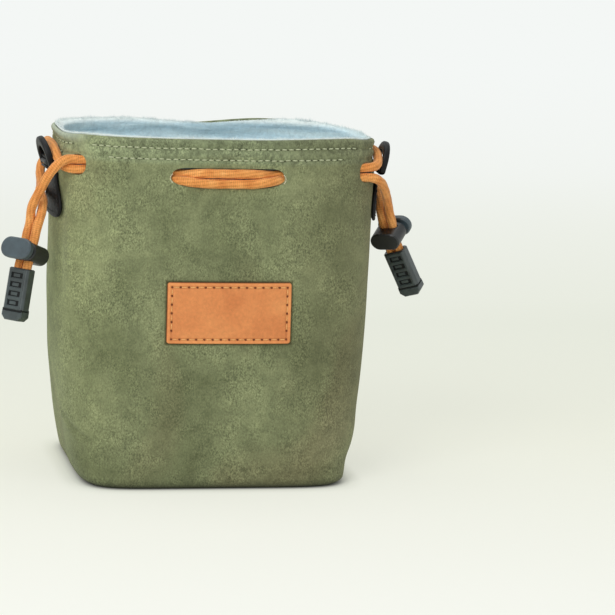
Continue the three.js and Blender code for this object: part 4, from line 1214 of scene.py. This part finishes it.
def make_patch():
    rows, cols, r = PATCH_ROWS, PATCH_COLS, PATCH_CORNER
    half_w, half_t = PATCH_W / 2, PATCH_T / 2
    u, v = np.meshgrid(np.linspace(-half_w, half_w, cols), np.linspace(-half_t, half_t, rows))
    dx, dy = half_w - np.abs(u), half_t - np.abs(v)
    in_corner = (dx < r) & (dy < r)
    from_corner = np.hypot(r - dx, r - dy)
    inside = np.where(in_corner, r - from_corner, np.minimum(dx, dy))
    edge = np.sqrt(np.maximum(0, 1 - (1 - np.minimum(inside, PATCH_EDGE) / PATCH_EDGE) ** 2))
    depth = PATCH_THICK * (EDGE_SHARE + (1 - EDGE_SHARE) * edge)
    depth -= GROOVE_DEEP * dent(inside, STITCH_INSET, GROOVE_WIDE)
    holes = patch_holes()
    for hole_u, hole_v, _, _ in holes:
        depth -= HOLE_DEEP * dent(v, hole_v, HOLE_WIDE) * dent(u, hole_u, HOLE_WIDE)
    # places past a round corner come back onto it
    pull = np.where(in_corner & (from_corner > r), r / np.maximum(from_corner, r), 1)
    x = PATCH_SHIFT + np.copysign(half_w - r + (r - dx) * pull, u)
    z = PATCH_Z + np.copysign(half_t - r + (r - dy) * pull, v)
    y = front_y(x, z) - PATCH_LIFT
    points = np.concatenate([np.stack([x, y - lift, z], -1).reshape(-1, 3) for lift in (0, depth)])
    count, faces = rows * cols, grid_faces(rows, cols)
    faces += [[count + i for i in f[::-1]] for f in faces]
    border = [*range(cols), *range(2 * cols - 1, count, cols)]
    border += [*range(count - 2, count - cols - 1, -1), *range((rows - 2) * cols, 0, -cols)]
    faces += [[a, b, count + b, count + a] for a, b in zip(border, border[1:] + border[:1])]
    o = mesh_object("leather_patch_tan", points, faces, closed=True)
    finish_piece(o, leather, "patch_leather", "leather_patch")
    places, hole_shade_dots = [], []
    last_u, last_v = half_w - STITCH_INSET + 0.1, half_t - STITCH_INSET + 0.1
    for hole_u, hole_v, du, dv in holes:
        steps = (STITCH_START * STITCH_PITCH, (1 - STITCH_START) * STITCH_PITCH)
        ends = [(hole_u + du * step, hole_v + dv * step) for step in steps]
        if all(abs(a) <= last_u and abs(b) <= last_v for a, b in ends):
            places.append((*(on_patch(a, b, THREAD_SUNK) for a, b in ends), TO_FRONT))
        # a dark dot sunk in each stitch hole is painted shade
        place, reach = np.array(on_patch(hole_u, hole_v, HOLE_SUNK)), np.array(HOLE_REACH)
        hole_shade_dots.append((place - reach, place + reach, TO_FRONT))
    capsules("patch_stitches", places, PATCH_THREAD_R, tan_thread, "patch_leather")
    capsules("patch_holes", hole_shade_dots, PATCH_HOLE_R, leather_hole_shade, "patch_leather")


def window_tacks():
    """The pale thread that whips each end of the front window."""
    half, places = WINDOW_WIDTH / 2 + HOLE_SLACK - TACK_IN, []
    for side in (-1, 1):
        for i in range(TACKS):
            first, ends = TACK_STEP * i - 1, []
            for a in (first, first + TACK_LONG):
                x, z = side * (half + TACK_R * math.cos(a)), CORD_Z - 0.1 + TACK_R * math.sin(a)
                ends.append((x, front_y(x, z) - TACK_THREAD_R / 2, z))
            places.append((*ends, TO_FRONT))
    capsules("window_tacks", places, TACK_THREAD_R, pale_thread, "suede_cloth")


make_patch()
window_tacks()

# The side hardware, made for the right and mirrored for the left
LOOP_IN = BAR_D / 2 + BAR_SLACK
LOOP_OUT = LOOP_IN + LOOP_WALL
ALONG = GIRTH / 4 - HARDWARE_SHIFT
FACING = outward(ALONG, BAR_Z)
BAR_PLACE = on_wall(ALONG, BAR_Z, GAP + LOOP_OUT)
ACROSS = np.array([-FACING[1], FACING[0], 0.0])
UPWARD = np.array([0, 0, 1.0])
TAB_COLS, TAB_ROWS, LOOP_STEPS, LEAF_EDGE = 40, 31, 28, 0.55
TAB_TOP = BAR_Z - BAR_D / 2 - 2.4
TAB_STITCHES, TAB_PITCH, TAB_STITCH_GAP, TAB_THREAD_R, TAB_INSET = 7, 2.4, 0.3, 0.2, 2.1
TAB_UP_START, TAB_LOW_START, TAB_LOW_Z = TAB_BOTTOM + 3.2, 4.2 - TAB_W / 2, TAB_BOTTOM + 2.4
LOOP_FIRST, LOOP_TURN = -62, -236
BOW_STEPS, ARM_STEPS, SECTION_SIDES, SECTION_SQUARE, BAR_SIDES = 48, 7, 24, 0.55, 32


def flip_x(points, side):
    return np.array(points, float) * (side, 1, 1)


def leaf_row(half, low, high):
    """Across the leaf's outer face, with round edges, and back over its inner one."""
    w = np.linspace(-half, half, TAB_COLS)
    r = min((high - low) / 2, LEAF_EDGE)
    near = np.clip(np.minimum(w + half, half - w), 0, r)
    fall = r - np.sqrt(np.maximum(0, r * r - (r - near) ** 2))
    return np.concatenate([w, w[::-1]]), np.concatenate([high - fall, (low + fall)[::-1]])


def tab_half(z):
    """Half the tab's width at a height, its round corners left out."""
    share = smooth((z - (TAB_BOTTOM + TAB_CORNER)) / (TAB_TOP - TAB_BOTTOM - TAB_CORNER))
    return TAB_W / 2 - (TAB_W - TAB_TOP_W) / 2 * share


def side_tab(side, name):
    """A folded strap: a leaf with soft edges up the cloth, and a flat band round the ring's bar."""
    points = []
    for i, z in enumerate(np.linspace(TAB_BOTTOM, TAB_TOP, TAB_ROWS)):
        past_corner = min((z - TAB_BOTTOM) / TAB_CORNER, 1)
        half = tab_half(z) - TAB_CORNER * (1 - math.sqrt(max(0.0, 1 - (1 - past_corner) ** 2)))
        low, high = GAP * 0.5, GAP + TAB_THICK
        if i == 0:
            low, high = (low + high) / 2 - 0.25, (low + high) / 2 + 0.25
        elif i == 1:
            low, high = low + 0.2, high - 0.2
        high -= 0.14 * dent(z, TAB_BOTTOM + 2.2, 0.7)
        w, off = leaf_row(max(half, 0.4), low, high)
        points.append(on_wall(ALONG + w, z, off))
    # the band runs from the front of the leaf's top over the bar to the back
    w, share = leaf_row(TAB_TOP_W / 2, 0.0, 1.0)
    for i in range(LOOP_STEPS + 1):
        a = math.radians(LOOP_FIRST + LOOP_TURN * i / LOOP_STEPS)
        r = LOOP_IN + (LOOP_OUT - LOOP_IN) * share
        way = FACING * math.cos(a) - UPWARD * math.sin(a)
        points.append(BAR_PLACE + ACROSS * w[:, None] + way * r[:, None])
    per = 2 * TAB_COLS
    faces = sweep_faces(TAB_ROWS, per) + sweep_faces(LOOP_STEPS + 1, per, TAB_ROWS * per)
    o = mesh_object(f"{name}_strap", flip_x(np.concatenate(points), side), faces, closed=True)
    finish_piece(o, black_leather, "tab_leather", name)

    def on_leaf(w, z):
        return flip_x(on_wall(ALONG + w, z, GAP + TAB_THICK - 0.02), side)

    places, reach = [], (TAB_STITCH_GAP, TAB_PITCH - TAB_STITCH_GAP)
    for k in range(TAB_STITCHES - 1):
        up = TAB_UP_START + TAB_PITCH * k
        facing = flip_x(outward(ALONG, up), side)
        for way in (-1, 1):
            ends = [on_leaf(way * (tab_half(up + d) - TAB_INSET), up + d) for d in reach]
            places.append((*ends, facing))
    facing = flip_x(outward(ALONG, TAB_BOTTOM), side)
    for k in range(TAB_STITCHES):
        w = TAB_LOW_START + TAB_PITCH * k
        places.append((*(on_leaf(w + d, TAB_LOW_Z) for d in reach), facing))
    capsules(f"{name}_stitches", places, TAB_THREAD_R, black_thread, "tab_leather")


def side_ring(side, lean, name, body):
    """The bow as a sweep of a round-cornered section between its inner and outer outline, and the bar."""
    outer, hole, low = RING_W / 2, RING_W / 2 - RING_ARM, -BAR_D / 2
    arm = [low + (RING_STRAIGHT - low) * i / ARM_STEPS for i in range(ARM_STEPS)]
    tall, hole_tall = RING_TALL - RING_STRAIGHT, RING_TALL - RING_BOW - RING_STRAIGHT
    stations = [((hole, h), (outer, h)) for h in arm]
    for i in range(BOW_STEPS + 1):
        c, s = math.cos(math.pi * i / BOW_STEPS), math.sin(math.pi * i / BOW_STEPS)
        stations.append(((hole * c, RING_STRAIGHT + hole_tall * s), (outer * c, RING_STRAIGHT + tall * s)))
    stations += [((-hole, h), (-outer, h)) for h in arm[::-1]]
    turn = np.linspace(0, 2 * math.pi, SECTION_SIDES, endpoint=False)
    section = [np.copysign(np.abs(v) ** SECTION_SQUARE, v) for v in (np.cos(turn), np.sin(turn))]
    tilt = math.radians(lean)

    def place(x, y, z):
        # x along the bar, y up, z out from the cloth; lean tips the top outwards
        up, out = y * math.cos(tilt) - z * math.sin(tilt), y * math.sin(tilt) + z * math.cos(tilt)
        return BAR_PLACE + ACROSS * x + UPWARD * up + FACING * out

    points = []
    for inner, outer_end in np.array(stations):
        for u, v in zip(*section):
            x, y = (inner + outer_end) / 2 + (outer_end - inner) / 2 * u
            points.append(place(x, y, v * RING_THICK / 2))
    faces = sweep_faces(len(stations), SECTION_SIDES) + sweep_faces(2, BAR_SIDES, len(points))
    for x in (-1, 1):
        for k in range(BAR_SIDES):
            a = 2 * math.pi * k / BAR_SIDES
            y, z = BAR_D / 2 * math.cos(a), BAR_D / 2 * math.sin(a)
            points.append(place(x * (RING_W - RING_ARM) / 2, y, z))
    o = mesh_object(f"{name}_moulded", flip_x(points, side), faces, closed=True)
    finish_piece(o, ring_plastic, "black_plastic", name, body=body)


for way, side in ((-1, "left"), (1, "right")):
    side_tab(way, f"side_tab_{side}")
for way, side, lean in ((-1, "left", LEFT_LEAN), (1, "right", RIGHT_LEAN)):
    side_ring(way, lean, f"side_ring_{side}", f"{side}_ring")

# The CAD pieces that stay
FINISHES = (("button", lit_button_plastic), ("cord_tip", tip_plastic), ("", black_plastic))
for name, o in frame["nodes"].items():
    if not o.hide_render:
        dress(o, next(finish for part, finish in FINISHES if part in name))
        hard_edges(o, 32)

# The paper sheet lies on the floor and curves up behind the bag. Its sizes are in mm
PAPER_SIDE, PAPER_FRONT, PAPER_BACK, PAPER_BEND, PAPER_TOP, PAPER_STEPS = 3000, -1600, 900, 350, 2600, 12


def backdrop():
    profile = [(PAPER_FRONT, 0), (PAPER_BACK, 0)]
    for i in range(1, PAPER_STEPS + 1):
        a = math.pi / 2 * i / PAPER_STEPS
        profile.append((PAPER_BACK + PAPER_BEND * math.sin(a), PAPER_BEND * (1 - math.cos(a))))
    profile.append((PAPER_BACK + PAPER_BEND, PAPER_TOP))
    points = [(x, y, z) for y, z in profile for x in (-PAPER_SIDE, PAPER_SIDE)]
    faces = [[2 * i, 2 * i + 1, 2 * i + 3, 2 * i + 2] for i in range(len(profile) - 1)]
    o = mesh_object("studio_sweep", points, faces)
    dress(o, material("studio_paper", paper_nodes, 0.9, 0.1))


def lamp(name, place, size, power):
    light = bpy.data.lights.new(name, "AREA")
    light.shape = "RECTANGLE"
    light.size, light.size_y = size
    light.energy = power
    o = bpy.data.objects.new(name, light)
    scene.collection.objects.link(o)
    o.location = place
    o.rotation_mode = "QUATERNION"
    o.rotation_quaternion = (Vector((0, 0, HEIGHT / 2 * MM)) - Vector(place)).to_track_quat("-Z", "Y")


backdrop()
lamp("key", (-0.85, -0.95, 0.95), (0.8, 0.8), 10)
lamp("fill", (0.95, -0.85, 0.6), (0.8, 0.8), 0.8)
lamp("over", (0.0, 0.1, 1.4), (1.2, 1.0), 5)
scene.world = bpy.data.worlds.new("studio")
scene.world.use_nodes = True
sky = scene.world.node_tree.nodes["Background"].inputs
sky["Color"].default_value = (0.97, 1.0, 0.98, 1)
sky["Strength"].default_value = 0.52
